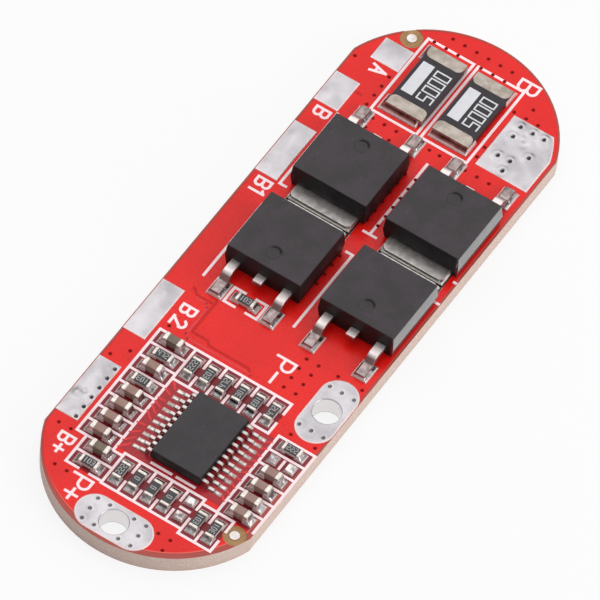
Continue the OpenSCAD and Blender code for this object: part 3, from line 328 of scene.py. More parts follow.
# rows of holes: first x, first y, step in x, step in y, count
tentRows = [(-24.142, -3.3, 0, 0, 1), (-25.192, -4.35, 1.05, 0, 2), (-23.442, 5.15, 0, 1.05, 2),
            (-20.202, 6.96, 0, 1.05, 2), (-11.292, -8.45, 0, 2.1, 2), (-4.992, -8.45, 0, 2.1, 2),
            (-8.092, -4.67, 1.02, 0, 4), (-8.092, -3.62, 1.02, 0, 4), (-13.002, 8.33, 1.05, -1.05, 2),
            (-8.422, 6.195, 0, 0, 1), (20.063, 8.53, 0, 0, 1), (8.028, -0.41, 1.02, 0, 6), (8.028, -1.35, 1.02, 0, 6),
            (1.048, -0.53, 1.02, 0, 4), (16.028, 2.225, 0, 1.05, 3), (15.028, 2.225, 0, 2.1, 2),
            (16.028, -1.6, 0, 0.8925, 2), (16.028, -5.945, 0, 1.05, 3), (16.838, 5.37, 1.02, 0, 4),
            (24.588, -1.85, 0, 1.05, 3), (24.588, 2.29, 0, 1.05, 3), (25.638, -1.85, 0, 1.05, 6),
            (17.588, -3.9, 1.05, 0, 2), (22.638, -6.05, 0, 1.05, 3), (23.638, -5.0, 0, 0, 1)]
tentSites = np.array([(x + k * dx, y + k * dy) for x, y, dx, dy, count in tentRows for k in range(count)])


# the same turned shape about each site: rings of these radii and heights, from underneath to the middle
def turned(sites, radii, heights, sides):
    a = np.linspace(0, 2 * math.pi, sides, endpoint=False)
    ring = np.stack([np.outer(radii, np.cos(a)), np.outer(radii, np.sin(a)), np.outer(heights, 1 + 0 * a)], -1)
    centres = np.concatenate([sites, np.zeros((len(sites), 1))], 1)
    points = ring[None] + centres[:, None, None, :]
    return points.reshape(-1, 3), tubeFaces(len(radii), sides, len(sites))


tentMask = Paint("sunkenMask", Roughness=0.4, Specular_IOR_Level=0.08)
tentMask.link("Base Color", tentMask.z.step(1.55, 1.60).blend(tent["deep"], tent["shallow"]))
points, faces = turned(tentSites, tent["radii"], tent["heights"], tent["sides"])
piece("via_tents", points, faces, tentMask)

# raised tracks under the mask: a short one out of each of the controller's leads, and one long broken line
track = dict(width=0.2, tall=0.10, topZ=1.622, corner=0.04, firstX=-18.737, pitch=0.65, upperY=2.72, lowerY=-5.3)
fan = [(-0.75, 0.6), (-0.7, 0.62), (-0.5, 0.62), (-0.1, 0.65), (0.55, 0.62), (0.5, 0.62), (0.25, 0.62), (0.0, 0.6),
       (0.3, 0.6), (0.5, 0.45)]
tracks = []
for k, (dx, dy) in enumerate(fan):
    x, upper, lower = track["firstX"] + track["pitch"] * k, track["upperY"], track["lowerY"]
    tracks += [[(x, upper), (x + dx, upper + dy)], [(x, lower), (x + dx * 0.4, lower - 0.32)]]
tracks += [[(-8.58, -0.95), (-8.58, 4.5), (-8.28, 4.8), (-5.45, 4.8), (-5.2, 5.05), (-5.2, 5.95)]]
centres, sizes, turns = [], [], []
for way in tracks:
    for (ax, ay), (bx, by) in zip(way, way[1:]):
        centres.append(((ax + bx) / 2, (ay + by) / 2, track["topZ"] - track["tall"] / 2))
        sizes.append((math.hypot(bx - ax, by - ay) + track["width"], track["width"], track["tall"]))
        turns.append(math.degrees(math.atan2(by - ay, bx - ax)))
trackMask = Paint("trackMask", Specular_IOR_Level=0.4)
trackMask.link("Base Color", trackMask.noise(1.2).blend((0.62, 0.016, 0.022), (0.78, 0.022, 0.024)))
trackMask.link("Roughness", 0.22 + trackMask.noise(4.0) * 0.1)
points, faces = roundedBars(centres, sizes, turns, track["corner"])
piece("mask_tracks", points, faces, trackMask)
print("board painted")


# the transistors' legs: painted shade, reddish, down the bend, and a painted highlight along the top where they leave
# the moulding
legLightAndShade = dict(bendZ=(2.14, 2.22), runZ=(2.50, 2.66), bend=(0.34, 0.21, 0.20), run=(0.68, 0.61, 0.595))
# painted highlight: solder is pale, and less of a mirror, along its land's edge, over this share of the land's width
solderEdgeHighlight = dict(share=0.075, pale=(0.84, 0.70, 0.69), matt=0.7)


def metalPaint(name, low, high, rough, ripple, scale, rippleScale=1.2, shadedLegs=False, edgeHighlighted=False):
    paint = Paint(name, Metallic=1.0)
    colour = paint.noise(scale, 3.0).step(0.3, 0.7).blend(low, high)
    if edgeHighlighted:
        # painted highlight: pale and less of a mirror along the land's edge
        colour = paint.mark("border").blend(colour, solderEdgeHighlight["pale"])
        paint.link("Metallic", 1.0 - paint.mark("border") * solderEdgeHighlight["matt"])
    if shadedLegs:
        # painted shade down the bend, painted highlight along the top
        raised = paint.z.step(*legLightAndShade["runZ"]).blend(legLightAndShade["bend"], legLightAndShade["run"])
        colour = paint.z.step(*legLightAndShade["bendZ"]).blend(colour, raised)
    paint.link("Base Color", colour)
    paint.link("Roughness", rough + paint.noise(scale * 3) * 0.12)
    paint.bump(paint.noise(rippleScale) * ripple)
    return paint


landTin = metalPaint("landTin", (0.46, 0.42, 0.405), (0.60, 0.56, 0.54), 0.22, 0.02, 2.0)
solder = metalPaint("brightSolder", (0.14, 0.11, 0.11), (0.62, 0.59, 0.575), 0.15, 0.05, 2.5, edgeHighlighted=True)
# the shunts' solder: a painted reflection of the red mask in its colour
shuntSolder = metalPaint("shuntSolder", (0.21, 0.05, 0.045), (0.45, 0.18, 0.16), 0.22, 0.03, 1.6, edgeHighlighted=True)
pinSolder = metalPaint("pinSolder", (0.28, 0.21, 0.195), (0.64, 0.57, 0.53), 0.15, 0.05, 2.5)
tabMetal = metalPaint("tabTin", (0.40, 0.37, 0.355), (0.56, 0.53, 0.505), 0.34, 0.02, 2.5, shadedLegs=True)
leadMetal = metalPaint("leadTin", (0.22, 0.17, 0.165), (0.40, 0.33, 0.32), 0.34, 0.02, 2.5, shadedLegs=True)
fineLead = metalPaint("fineLeadTin", (0.40, 0.36, 0.345), (0.54, 0.50, 0.48), 0.24, 0.01, 4.0)
capMetal = metalPaint("chipEndTin", (0.55, 0.50, 0.45), (0.70, 0.655, 0.61), 0.32, 0.03, 4.0, 4.0)
shuntMetal = metalPaint("shuntEndTin", (0.28, 0.24, 0.205), (0.42, 0.37, 0.325), 0.36, 0.03, 1.6)
repaint("component_lands", landTin)


# black epoxy: cloudy and specked on top, with painted shade darkening it down its sides, and polished by the mould on
# the sides that stand along the board's lower edge
epoxy = dict(sideShadeShare=0.3, cloudShare=1.8, topBand=(0.14, 0.06), polishedY=(-8.55, -8.45))


def mouldingPaint(name, colour, grain, topZ):
    paint = Paint(name, Coat_IOR=2.6, Coat_Roughness=0.12, Specular_IOR_Level=0.30)
    fleck = paint.noise(7.0).step(0.68, 0.78) * paint.noise(0.5).step(0.45, 0.65)
    cloud = paint.noise(0.55, 4.0, 0.6).step(0.35, 0.65)
    paler, darker = (tuple(c * epoxy[share] for c in colour) for share in ("cloudShare", "sideShadeShare"))
    onTop = paint.z.step(*(topZ - depth for depth in epoxy["topBand"]))
    # painted shade: the sides are darker than the top
    face = onTop.blend(darker, cloud.blend(colour, paler))
    paint.link("Base Color", (fleck * onTop * 0.6).blend(face, (0.26, 0.25, 0.25)))
    paint.link("Roughness", 0.34 + cloud * 0.22 + paint.noise(5.0, 3.0) * 0.16)
    paint.link("Coat Weight", (1.0 - onTop) * (1.0 - paint.y.step(*epoxy["polishedY"])))
    paint.bump(paint.noise(11.0, 3.0) * grain)
    return paint


fetTop = float(boxOf("transistor_1_body")[1][2])
fetEpoxy = mouldingPaint("transistorEpoxy", (0.029, 0.024, 0.027), 0.02, fetTop)
ctrlEpoxy = mouldingPaint("controllerEpoxy", (0.027, 0.024, 0.026), 0.012, float(boxOf("controller_body")[1][2]))
softened("controller_body", ctrlEpoxy, 0.05)
repaint("controller_leads", fineLead)
for i in range(1, 5):
    softened(f"transistor_{i}_body", fetEpoxy, 0.07)
    softened(f"transistor_{i}_drain_tab", tabMetal, 0.04)
    softened(f"transistor_{i}_leads", leadMetal, 0.05)

# the bowl that the ejector pin leaves in each transistor's top, with a painted shadow in a crescent on one side
bowl = dict(radii=(0.64, 0.64, 0.58, 0.52, 0.44, 0.34, 0.22, 0.08),
            depths=(0.03, -0.003, -0.002, 0.004, 0.014, 0.024, 0.030, 0.032), sides=48)
bowlSites = []
for i in range(1, 5):
    low, high = boxOf(f"transistor_{i}_body")
    bowlSites.append(((low[0] + high[0]) / 2 + (1 if i < 3 else -1) * (high[0] - low[0]) / 4, (low[1] + high[1]) / 2))
bowlSites = np.array(bowlSites)
points, faces = turned(bowlSites, bowl["radii"], fetTop - np.array(bowl["depths"]), bowl["sides"])
offset = points.reshape(len(bowlSites), -1, 3)[..., :2] - bowlSites[:, None]
away = np.maximum(np.hypot(offset[..., 0], offset[..., 1]), 0.01)
far = np.clip((offset @ np.array((0.98, -0.2)) / away - 0.1) / 0.6, 0, 1) * np.exp(-((away - 0.48) / 0.08) ** 2)
bowlEpoxy = Paint("bowlEpoxy", Roughness=0.5, Specular_IOR_Level=0.30)
# painted shadow: near black, and without sheen, in the crescent
bowlEpoxy.link("Base Color", bowlEpoxy.mark("far").blend((0.035, 0.030, 0.033), (0.002, 0.002, 0.002)))
bowlEpoxy.link("Metallic", bowlEpoxy.mark("far") * 0.9)  # no sheen in the crescent
piece("transistor_marks", points, faces, bowlEpoxy, marks={"far": far})
print("mouldings and leads rounded")

shuntCoat = Paint("shuntCoat", Specular_IOR_Level=0.28)
shuntCoat.link("Base Color", shuntCoat.noise(1.5, 3.0).blend((0.017, 0.013, 0.016), (0.030, 0.026, 0.031)))
shuntCoat.link("Roughness", 0.30 + shuntCoat.noise(4.0) * 0.15)
shuntCoat.bump(shuntCoat.noise(1.2) * 0.03)
shuntInk = Paint("shuntInk", Roughness=0.5)
shuntInk.link("Base Color", shuntInk.noise(2.0).blend((0.62, 0.62, 0.65), (0.72, 0.72, 0.74)))
softened("shunt_1", shuntCoat, 0.06)
softened("shunt_2", shuntCoat, 0.06)
softened("shunt_terminals", shuntMetal, 0.07)
repaint("shunt_marks", shuntInk)

# chips: ceramic cores with rounded edges inside end caps
chip = dict(length=1.55, width=0.75, capHeight=0.8, resHeight=0.45, capEnd=0.36, resEnd=0.26, inEnd=0.05,
            inSide=0.02, capRound=0.07, resRound=0.03, endRound=0.06)
capNames = [f"capacitor_{i}" for i in range(1, 12)]
resNames = [f"resistor_{i}" for i in range(1, 15)]


# where a chip stands: x, y, and 0 or 90 degrees for the way it lies
def chipSeat(name):
    low, high = boxOf(name)
    return (low[0] + high[0]) / 2, (low[1] + high[1]) / 2, 0 if high[0] - low[0] > high[1] - low[1] else 90


capSeats = [chipSeat(name) for name in capNames]
resSeats = [chipSeat(name) for name in resNames]
linkSeats = [(-21.2871, y, 0) for y in (0.455, -0.94, -2.335)]
emptySeats = [(-21.2871, -3.73, 0), (-13.9671, -7.305, 90)]


def chipBody(name, seats, height, corner, paint, replaced):
    size = (chip["length"] - 2 * chip["inEnd"], chip["width"] - 2 * chip["inSide"], height - 2 * chip["inSide"])
    points, faces = roundedBars([(x, y, board["landZ"] + height / 2) for x, y, turn in seats], [size] * len(seats),
                                [turn for x, y, turn in seats], corner)
    piece(name, points, faces, paint, (replaced,))


def ceramicPaint(name, low, high):
    paint = Paint(name, Roughness=0.38)
    paint.link("Base Color", paint.noise(3.0, 3.0).blend(low, high))
    paint.bump(paint.noise(14.0) * 0.006)
    return paint


brown = ceramicPaint("brownCeramic", (0.23, 0.12, 0.095), (0.36, 0.22, 0.18))
olive = ceramicPaint("oliveCeramic", (0.11, 0.075, 0.05), (0.19, 0.14, 0.095))

# white ceramic, glazed black on its upper face
glaze = Paint("resistorGlaze")
resTop = board["landZ"] + chip["resHeight"]
glazed = glaze.z.step(resTop - 0.12, resTop - 0.08)
glaze.link("Base Color", glazed.blend((0.55, 0.52, 0.50), (0.022, 0.020, 0.024)))
glaze.link("Roughness", 0.5 - glazed * 0.2)

for name, seat in zip(capNames, capSeats):
    darker = seat[0] > -9.9 or 0 < seat[1] < 4.5
    chipBody(name + "_ceramic", [seat], chip["capHeight"], chip["capRound"], olive if darker else brown,
             name)
for name, seat in zip(resNames, resSeats):
    chipBody(name + "_glazed", [seat], chip["resHeight"], chip["resRound"], glaze, name)
chipBody("links_glazed", linkSeats, chip["resHeight"], chip["resRound"], glaze, "zero_ohm_links")

# plain figures on the resistors, as strokes on a grid of two points by three: x, y to x, y
code = dict(height=0.42, width=0.19, gap=0.13, stroke=0.06, thick=0.01, corner=0.004, sunk=0.014)
strokes = {"0": [(0, 0, 0, 2), (0, 2, 1, 2), (1, 2, 1, 0), (1, 0, 0, 0)], "1": [(0.5, 0, 0.5, 2)],
           "2": [(0, 2, 1, 2), (1, 2, 1, 1), (1, 1, 0, 1), (0, 1, 0, 0), (0, 0, 1, 0)],
           "3": [(0, 2, 1, 2), (1, 2, 1, 0), (1, 0, 0, 0), (0.2, 1, 1, 1)],
           "4": [(0, 2, 0, 1), (0, 1, 1, 1), (1, 2, 1, 0)], "7": [(0, 2, 1, 2), (1, 2, 1, 0)]}
turnedOver = (0, 4, 7, 10)  # resistors that were laid the other way round
words = ["103", "472", "103", "222", "103", "472", "301", "103", "472", "222", "103", "301", "222", "103"]
centres, sizes, turns = [], [], []
for k, ((x, y, turn), word) in enumerate(zip(resSeats + linkSeats, words + ["0"] * 3)):
    turn = -turn + (180 if k in turnedOver else 0)
    c, s = math.cos(math.radians(turn)), math.sin(math.radians(turn))
    for place, figure in enumerate(word):
        left = (place - (len(word) - 1) / 2) * (code["width"] + code["gap"]) - code["width"] / 2
        for x0, y0, x1, y1 in strokes[figure]:
            u, v = left + (x0 + x1) / 2 * code["width"], ((y0 + y1) / 4 - 0.5) * code["height"]
            centres.append((x + c * u - s * v, y + s * u + c * v, resTop - code["sunk"]))
            sizes.append((abs(x1 - x0) * code["width"] + code["stroke"],
                          abs(y1 - y0) / 2 * code["height"] + code["stroke"], code["thick"]))
            turns.append(turn)
codeInk = Paint("codeInk", Roughness=0.5)
codeInk.link("Base Color", codeInk.noise(6.0).blend((0.38, 0.37, 0.36), (0.58, 0.56, 0.54)))
points, faces = roundedBars(centres, sizes, turns, code["corner"], 1)
piece("resistor_codes", points, faces, codeInk)

# both ends of every chip: x, y, turn, way, height of the chip, length of the cap
ends = [(x, y, turn, e, height, cap) for seats, height, cap in
        ((capSeats, chip["capHeight"], chip["capEnd"]), (resSeats + linkSeats, chip["resHeight"], chip["resEnd"]))
        for x, y, turn in seats for e in (-1, 1)]


# a place this far along a chip's length from its middle
def along(x, y, turn, off):
    return (x + off, y) if turn == 0 else (x, y + off)


points, faces = roundedBars([(*along(x, y, turn, e * (chip["length"] - cap) / 2), board["landZ"] + height / 2)
                             for x, y, turn, e, height, cap in ends],
                            [(cap, chip["width"], height) for x, y, turn, e, height, cap in ends],
                            [turn for x, y, turn, e, height, cap in ends], chip["endRound"])
piece("chip_end_caps", points, faces, capMetal, ("chip_terminals",))
print("chips built")

# solder: over each land, highest against the metal that it wets;
# height = rim of a quarter circle * (bow + climb * exp(-distance / reach)), and nothing well under the metal
mound = dict(rim=0.12, inset=0.015, baseZ=1.632)


# lands and feet are rows of middle x, middle y, length in x, length in y
def mounds(name, lands, feet, climbs, bow, reach, step, replaced=(), paint=solder):
    allPoints, allFaces, border, start = [], [], [], 0
    for (cx, cy, lx, ly), foot, climb in zip(lands, feet, climbs):
        hx, hy = lx / 2 - mound["inset"], ly / 2 - mound["inset"]
        x, y = np.meshgrid(np.linspace(-hx, hx, max(7, int(lx / step))), np.linspace(-hy, hy, max(7, int(ly / step))))
        edge = np.minimum(hx - abs(x), hy - abs(y))
        rim = np.sqrt(1 - (1 - np.clip(edge / mound["rim"], 0, 1)) ** 2)
        height = rim * bow
        if foot is not None:
            fromX, fromY = abs(x + cx - foot[0]) - foot[2] / 2, abs(y + cy - foot[1]) - foot[3] / 2
            outside = np.hypot(np.maximum(fromX, 0), np.maximum(fromY, 0))
            height = rim * (bow + climb * np.exp(-outside / reach))
            height = np.where(np.maximum(fromX, fromY) < -0.05, 0.0, height)
        allPoints.append(np.stack([x + cx, y + cy, mound["baseZ"] + height], -1).reshape(-1, 3))
        # the share of painted highlight along each land's edge
        border.append(np.clip(1.4 - edge / (min(lx, ly) * solderEdgeHighlight["share"]), 0, 1).ravel())
        allFaces += sheetFaces(*x.shape, start)
        start += x.size
    marks = {"border": np.concatenate(border)}
    piece(name, np.concatenate(allPoints), allFaces, paint, replaced, marks)


# the land under one end of a chip
land = dict(toe=0.4, heel=0.42, side=0.075, bow=0.05, climb=0.72, reach=0.15, spareBow=0.26)


def chipLand(x, y, turn, e):
    off = e * (chip["length"] / 2 + (land["toe"] - land["heel"]) / 2)
    size = (land["toe"] + land["heel"], chip["width"] + 2 * land["side"])
    return (*along(x, y, turn, off), *(size if turn == 0 else size[::-1]))


feet = []
for x, y, turn, e, height, cap in ends:
    size = (cap, chip["width"])
    feet.append((*along(x, y, turn, e * (chip["length"] - cap) / 2), *(size if turn == 0 else size[::-1])))
mounds("chip_solder", [chipLand(*row[:4]) for row in ends], feet, [row[4] * land["climb"] for row in ends],
       land["bow"], land["reach"], 0.04, ("solder_fillets",))
spareLands = [chipLand(*seat, e) for seat in emptySeats for e in (-1, 1)]
mounds("spare_solder", spareLands, [None] * 4, [0] * 4, land["spareBow"], 1, 0.04)

# the controller's feet, on both long sides
foot = dict(length=0.62, width=0.24, landWidth=0.32, toe=0.65, heel=0.06, count=10)
body, leads = boxOf("controller_body"), boxOf("controller_leads")
middle, outY = body.mean(0), (leads[1][1] - leads[0][1]) / 2
span = foot["toe"] + foot["length"] + foot["heel"]
firstX = middle[0] - (foot["count"] - 1) / 2 * track["pitch"]
spots = [(firstX + k * track["pitch"], e) for k in range(foot["count"]) for e in (-1, 1)]
mounds("controller_solder",
       [(x, middle[1] + e * (outY + foot["toe"] - span / 2), foot["landWidth"], span) for x, e in spots],
       [(x, middle[1] + e * (outY - foot["length"] / 2), foot["width"], foot["length"]) for x, e in spots],
       [0.09] * len(spots), 0.03, 0.10, 0.03, paint=pinSolder)

# the transistors' two long leads each
fet = dict(pitch=2.285, leadOut=2.85, footLength=0.95, footWidth=0.76, landLength=1.75, landWidth=1.33, toe=0.14)
lands, feet = [], []
for i in range(1, 5):
    low, high = boxOf(f"transistor_{i}_body")
    way = 1 if i < 3 else -1
    tip = (low[0] + high[0]) / 2 + way * ((high[0] - low[0]) / 2 + fet["leadOut"])
    for y in ((low[1] + high[1]) / 2 + e * fet["pitch"] for e in (-1, 1)):
        lands.append((tip + way * (fet["toe"] - fet["landLength"] / 2), y, fet["landLength"], fet["landWidth"]))
        feet.append((tip - way * fet["footLength"] / 2, y, fet["footLength"], fet["footWidth"]))
mounds("lead_solder", lands, feet, [0.24] * 8, 0.05, 0.16, 0.035)

# one land under each pair of tabs that face each other, in two halves
tab = dict(under=0.3, side=0.18, climb=0.30)
lands, feet = [], []
for left, right in ((3, 1), (4, 2)):
    tabs = [boxOf(f"transistor_{left}_drain_tab"), boxOf(f"transistor_{right}_drain_tab")]
    seam = (tabs[0][1][0] + tabs[1][0][0]) / 2
    rims = (boxOf(f"transistor_{left}_body")[1][0] - tab["under"],
            boxOf(f"transistor_{right}_body")[0][0] + tab["under"])
    for metal, x0, x1 in ((tabs[0], rims[0], seam), (tabs[1], seam, rims[1])):
        size = metal[1] - metal[0]
        lands.append(((x0 + x1) / 2, metal[:, 1].mean(), x1 - x0, size[1] + 2 * tab["side"]))
        feet.append((metal[:, 0].mean(), metal[:, 1].mean(), size[0], size[1]))
# painted shade: the gap between the tabs is dark down at its bottom
gapSolder = Paint("gapSolder", Metallic=1.0, Roughness=0.3)
gapSolder.link("Base Color", gapSolder.z.step(1.75, 1.84).blend((0.05, 0.045, 0.045), (0.62, 0.60, 0.57)))
gapSolder.bump(gapSolder.noise(2.0) * 0.03)
mounds("tab_solder", lands, feet, [tab["climb"]] * 4, 0.04, 0.12, 0.04, paint=gapSolder)

# the shunts' ends; the first shunt sits low on its lands
shunt = dict(toe=0.4, landLength=1.55, landWidth=3.4, drop=0.35, cap=1.05, climb=0.42)
lands, feet = [], []
for i in (1, 2):
    low, high = boxOf(f"shunt_{i}")
    caps = boxOf("shunt_terminals")
    half, x, y = (caps[1][0] - caps[0][0]) / 2, caps[:, 0].mean(), (low[1] + high[1]) / 2
    for e in (-1, 1):
        lands.append((x + e * (half + shunt["toe"] - shunt["landLength"] / 2), y + (shunt["drop"] if i == 1 else 0),
                      shunt["landLength"], shunt["landWidth"]))
        feet.append((x + e * (half - shunt["cap"] / 2), y, shunt["cap"], high[1] - low[1]))
mounds("shunt_solder", lands, feet, [shunt["climb"]] * 4, 0.06, 0.2, 0.035, paint=shuntSolder)
print("solder laid")

# pads and lugs: levelled tin, with painted shade down its holes, a painted highlight in the barrels and over their
# lips, and a painted highlight where the mask's edge meets it
tin = Paint("levelledTin")
patch = tin.noise(0.45, 3.0).step(0.3, 0.7)
tinColour = patch.blend((0.34, 0.325, 0.34), (0.48, 0.46, 0.475))
# painted highlight: the barrels and the lips into them paler
tinColour = tin.mark("barrel").blend(tinColour, (0.80, 0.77, 0.77))
# painted shade down the holes
tinColour = tin.mark("pit").blend(tinColour, (0.05, 0.045, 0.045))
# painted highlight where the mask's edge meets the tin: pale, and less of a mirror
tin.link("Base Color", tin.mark("seam").blend(tinColour, (0.88, 0.68, 0.67)))
tin.link("Metallic", 1.0 - tin.mark("seam") * 0.8)
tin.link("Roughness", 0.24 + patch * 0.10)
tin.bump(tin.noise(0.8) * 0.03)

padLook = dict(baseZ=1.585, step=0.035, rim=0.14, base=0.045, crown=0.09, wave=0.03, holeRadius=0.15,
               holeDepth=0.12, seam=0.12)
lugHoles = [(-26.2421, 1.95), (-25.1921, 1.95), (-24.1421, 1.95), (-26.2421, 0.9), (-24.1421, 0.9), (-26.2421, -1.2),
            (-24.1421, -1.2), (-26.2421, -2.25), (-25.1921, -2.25), (-24.1421, -2.25)]
minusHoles = [(x, y) for x in (-10.1921, -6.0971) for y in (-8.45, -7.4, -6.35)]
plusHoles = [(-19.0921 + 1.02 * k, 7.26) for k in range(6)]
packHoles = [(18.5579, -5.1), (20.6579, -5.1), (21.7079, -5.1), (17.5379, -6.15), (18.5879, -6.15),
             (21.7379, -6.15), (19.6379, -7.15), (21.7379, -7.15)]


# slow unevenness, about -1 to 1: the sum of seven sines over x and y
def wave(x, y, seed):
    fx, fy, phase = np.random.default_rng(seed).uniform(-1, 1, (3, 7))
    return sum(np.sin(2.6 * fx[k] * x + 2.6 * fy[k] * y + math.pi * phase[k]) for k in range(7)) / 3.2


def quarterRound(away, radius):
    return np.sqrt(1 - (1 - np.clip(away / radius, 0, 1)) ** 2)


# holes let into a surface, each with a swelling round it; gives the height, and how far into the hole, which carries
# the painted shade
def holesIn(x, y, sites, depth, swell):
    height, pit = 0 * x, 0 * x
    for hx, hy in sites:
        away = np.hypot(x - hx, y - hy)
        inHole = np.clip(1 - away / padLook["holeRadius"], 0, 1)
        height = height - depth * inHole ** 0.6 + swell * np.exp(-((away - 0.33) / 0.2) ** 2) \
            + 0.8 * swell * np.exp(-(np.hypot(x - hx - 0.28, y - hy + 0.1) / 0.16) ** 2)
        pit = np.maximum(pit, np.clip(inHole * 4, 0, 1))
    return height, pit


# a pad over its CAD box: height = rounded rim * (crown + waves + lumps) + holes; floorY gives a curved lower edge
def padPiece(node, seed, sites=(), lumps=(), crown=padLook["crown"], floorY=None, swell=0.025):
    (x0, y0), (x1, y1) = boxOf(node)[:, :2]
    u, v = np.meshgrid(np.linspace(0, 1, int((x1 - x0) / padLook["step"])),
                       np.linspace(0, 1, int((y1 - y0) / padLook["step"])))
    x = x0 + u * (x1 - x0)
    low = y0 + 0 * x if floorY is None else np.maximum(y0, floorY(x))
    y = low + v * (y1 - low)
    edge = np.minimum(np.minimum(x - x0, x1 - x), np.minimum(y - low, y1 - y))
    rim = quarterRound(edge, padLook["rim"])
    dome = (1 - (1 - np.clip(np.minimum(x - x0, x1 - x) / 1.1, 0, 1)) ** 2) \
        * (1 - (1 - np.clip(np.minimum(y - low, y1 - y) / 1.1, 0, 1)) ** 2)
    z = rim * (padLook["base"] + (crown + padLook["wave"] * wave(x, y, seed)) * dome)
    for lx, ly, size, height in lumps:
        z = z + rim * height * np.exp(-((x - lx) ** 2 + (y - ly) ** 2) / size ** 2)
    height, pit = holesIn(x, y, sites, padLook["holeDepth"], swell)
    z = np.maximum(z + height * rim, 0.004 * (edge > 0))  # stays above the face that closes it underneath
    points = np.stack([x, y, padLook["baseZ"] + z], -1).reshape(-1, 3)
    marks = {"pit": pit, "barrel": 0 * x, "seam": np.clip(1.3 - edge / padLook["seam"], 0, 1)}
    piece(node + "_tin", points, sheetFaces(*x.shape), tin, (node,), marks)


padPiece("pad_b_plus", 3, plusHoles, lumps=[(-17.3, 8.4, 0.35, 0.12), (-16.9, 8.0, 0.25, -0.08)])
padPiece("pad_b2", 4)
padPiece("pad_b1", 5)
padPiece("pad_b", 6)
padPiece("pad_a", 7)


# the B minus pad follows the round end
def packFloor(x):
    reach = board["endRadius"] - maskLook["widePullback"]
    return -np.sqrt(np.maximum(reach ** 2 - np.maximum(x - board["arcX"], 0) ** 2, 0))


padPiece("pad_b_minus", 8, packHoles, [(20.4, -6.1, 0.4, -0.1), (20.9, -5.9, 0.3, 0.07)], 0.06, packFloor, 0.05)

lug = dict(hole=1.1, rim=0.14, lip=0.12, rings=56, columns=432, barrel=8, dish=0.035, holeDepth=0.09, holeShadeShare=0.6)


# a lug: rings drawn in from its stadium outline to its hole, down the barrel and out again underneath
def lugPiece(node, seed, sites, upright):
    low, high = boxOf(node)
    size = (high - low)[:2][::-1] if upright else (high - low)[:2]
    straight, radius = size[0] - size[1], size[1] / 2
    # along the outline: the upper side, the left round, the lower side, the right round
    turn = math.pi * radius
    s = np.arange(lug["columns"]) / lug["columns"] * 2 * (straight + turn)
    part = np.searchsorted([straight, straight + turn, 2 * straight + turn], s, side="right")
    a = np.where(part == 1, math.pi / 2 + (s - straight) / radius, -math.pi / 2 + (s - 2 * straight - turn) / radius)
    px = np.choose(part, [straight / 2 - s, radius * np.cos(a) - straight / 2,
                          s - 1.5 * straight - turn, radius * np.cos(a) + straight / 2])
    py = np.choose(part, [radius + 0 * s, radius * np.sin(a), -radius + 0 * s, radius * np.sin(a)])
    aim = np.arctan2(py, px)
    hx, hy = lug["hole"] * np.cos(aim), lug["hole"] * np.sin(aim)
    # each ring: its share of the way to the hole, and its height where it isn't on the upper face
    rings = [(t, np.nan) for t in np.linspace(0, 1, lug["rings"])]
    rings += [(1, z) for z in np.linspace(1.5, 0.1, lug["barrel"])]
    rings += [(1, 0), (0.9, 0), (0.1, 0), (0.02, 0.01), (0, 0.04)]
    t, fixed = np.array(rings)[:, :1], np.array(rings)[:, 1:]
    x, y = px * (1 - t) + hx * t, py * (1 - t) + hy * t
    gap = np.hypot(px - hx, py - hy)
    if upright:
        x, y = -y, x
    x, y = x + (low[0] + high[0]) / 2, y + (low[1] + high[1]) / 2
    rim, lip = quarterRound(t * gap, lug["rim"]), quarterRound((1 - t) * gap, lug["lip"])
    height, pit = holesIn(x, y, sites, lug["holeDepth"], 0.012)
    top = padLook["baseZ"] + height + rim * (padLook["base"] + lug["dish"] * np.clip(t * gap / 0.6, 0, 1)
                                             + 0.012 * wave(x, y, seed)) - 0.05 * (1 - lip)
    z = np.where(np.isnan(fixed), top, fixed)
    points = np.stack([x, y, z], -1).reshape(-1, 3)
    onTop = np.isnan(fixed)
    marks = {"pit": np.where(onTop, pit * lug["holeShadeShare"], 0),
             # painted highlight over the lip and down the barrel
             "barrel": np.clip(1 - (1 - t) * gap / (lug["lip"] / 2), 0, 1) + 0 * x,
             # painted highlight along the outline
             "seam": np.where(onTop, np.clip(1.3 - t * gap / padLook["seam"], 0, 1), 0)}
    faces = quads(len(rings), lug["columns"], True, True).tolist()
    piece(node + "_tin", points, faces, tin, (node,), marks)


lugPiece("lug_p_plus", 11, lugHoles, True)
lugPiece("lug_p_minus", 12, minusHoles, False)
print("pads and lugs built")

scene = bpy.context.scene
scene.view_settings.view_transform = "Standard"
# lamps, each with its place, its size and its power: a wide soft box behind and above the board, a small one
# inside it, and a low one beside the board's lower edge
lamps = dict(softBox=((0.203, 0.110, 0.327), 0.56, 0.86), innerBox=((0.15, 0.17, 0.32), 0.13, 0.03),
             sideBox=((0.03, -0.38, 0.12), 0.30, 0.95))
for name, (at, size, power) in lamps.items():
    data = bpy.data.lights.new(name, "AREA")
    data.size, data.energy = size, power
    made = bpy.data.objects.new(name, data)
    made.location = at
    made.rotation_mode = "QUATERNION"
    made.rotation_quaternion = (-Vector(at)).to_track_quat("-Z", "Y")
    scene.collection.objects.link(made)

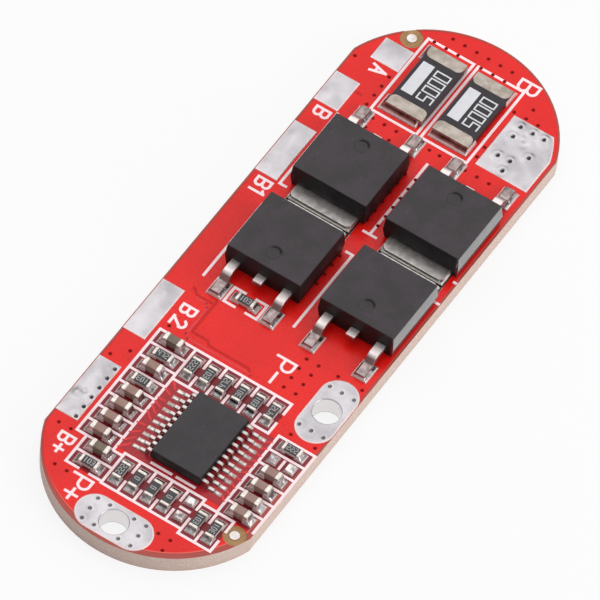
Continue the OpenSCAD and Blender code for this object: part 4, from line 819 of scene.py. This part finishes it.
# a plain studio: dim near the horizon, pale overhead
world = bpy.data.worlds.new("studio")
scene.world = world
world.use_nodes = True
heading = Signal(world.node_tree).node("ShaderNodeTexCoord", {}, {}, 0)
upward = heading.node("ShaderNodeSeparateXYZ", {}, {0: heading}, 2)
studio = upward.node("ShaderNodeValToRGB", {"stops": [(0.0, (0.16, 0.16, 0.16)), (0.35, (0.40, 0.40, 0.405)),
                                                      (0.9, (0.78, 0.78, 0.79))]}, {"Fac": upward})
world.node_tree.links.new(studio.socket, world.node_tree.nodes["Background"].inputs["Color"])

# a pale floor that shows nearly white and keeps the board's shadow
floorLook = dict(half=2.0, z=-0.01 * mm, colour=(0.9, 0.9, 0.9, 1), glow=0.98, share=0.85)
h, z = floorLook["half"], floorLook["z"]
floorMesh = bpy.data.meshes.new("floor")
floorMesh.from_pydata([(-h, -h, z), (h, -h, z), (h, h, z), (-h, h, z)], [], [(0, 1, 2, 3)])
floor = bpy.data.objects.new("floor", floorMesh)
scene.collection.objects.link(floor)
floorPaint = bpy.data.materials.new("paleFloor")
floorPaint.use_nodes = True
tree = floorPaint.node_tree
matt = tree.nodes["Principled BSDF"]
matt.inputs["Base Color"].default_value = floorLook["colour"]
matt.inputs["Roughness"].default_value = 0.9
matt.inputs["Specular IOR Level"].default_value = 0.1
rays = Signal(tree).node("ShaderNodeLightPath", {}, {}).socket.node.outputs
seen = Signal(tree, rays["Is Camera Ray"]) + Signal(tree, rays["Is Glossy Ray"])
seen = seen + Signal(tree, rays["Is Transmission Ray"])
share = (seen * floorLook["share"]).atMost(floorLook["share"])
glow = share.node("ShaderNodeEmission", {}, {"Strength": floorLook["glow"]})
shown = share.node("ShaderNodeMixShader", {}, {0: share, 1: Signal(tree, matt.outputs[0]), 2: glow})
tree.links.new(shown.socket, tree.nodes["Material Output"].inputs[0])
floorMesh.materials.append(floorPaint)

# the camera: its place in millimetres, and the directions of its right, its up and its back
eye = dict(at=(-442.214, -239.171, 712.048), lens=711.58, right=(0.547468, -0.834712, 0.059456),
           up=(0.665473, 0.477343, 0.573837), back=(-0.507369, -0.274591, 0.816808))
cameraData = bpy.data.cameras.new("camera")
cameraData.lens, cameraData.sensor_width = eye["lens"], 36.0
cameraData.clip_start, cameraData.clip_end = 0.05, 5.0
camera = bpy.data.objects.new("camera", cameraData)
scene.collection.objects.link(camera)
camera.matrix_world = Matrix.Translation(Vector(eye["at"]) * mm) @ \
    Matrix((eye["right"], eye["up"], eye["back"])).transposed().to_4x4()
scene.camera = camera
print("stage set")
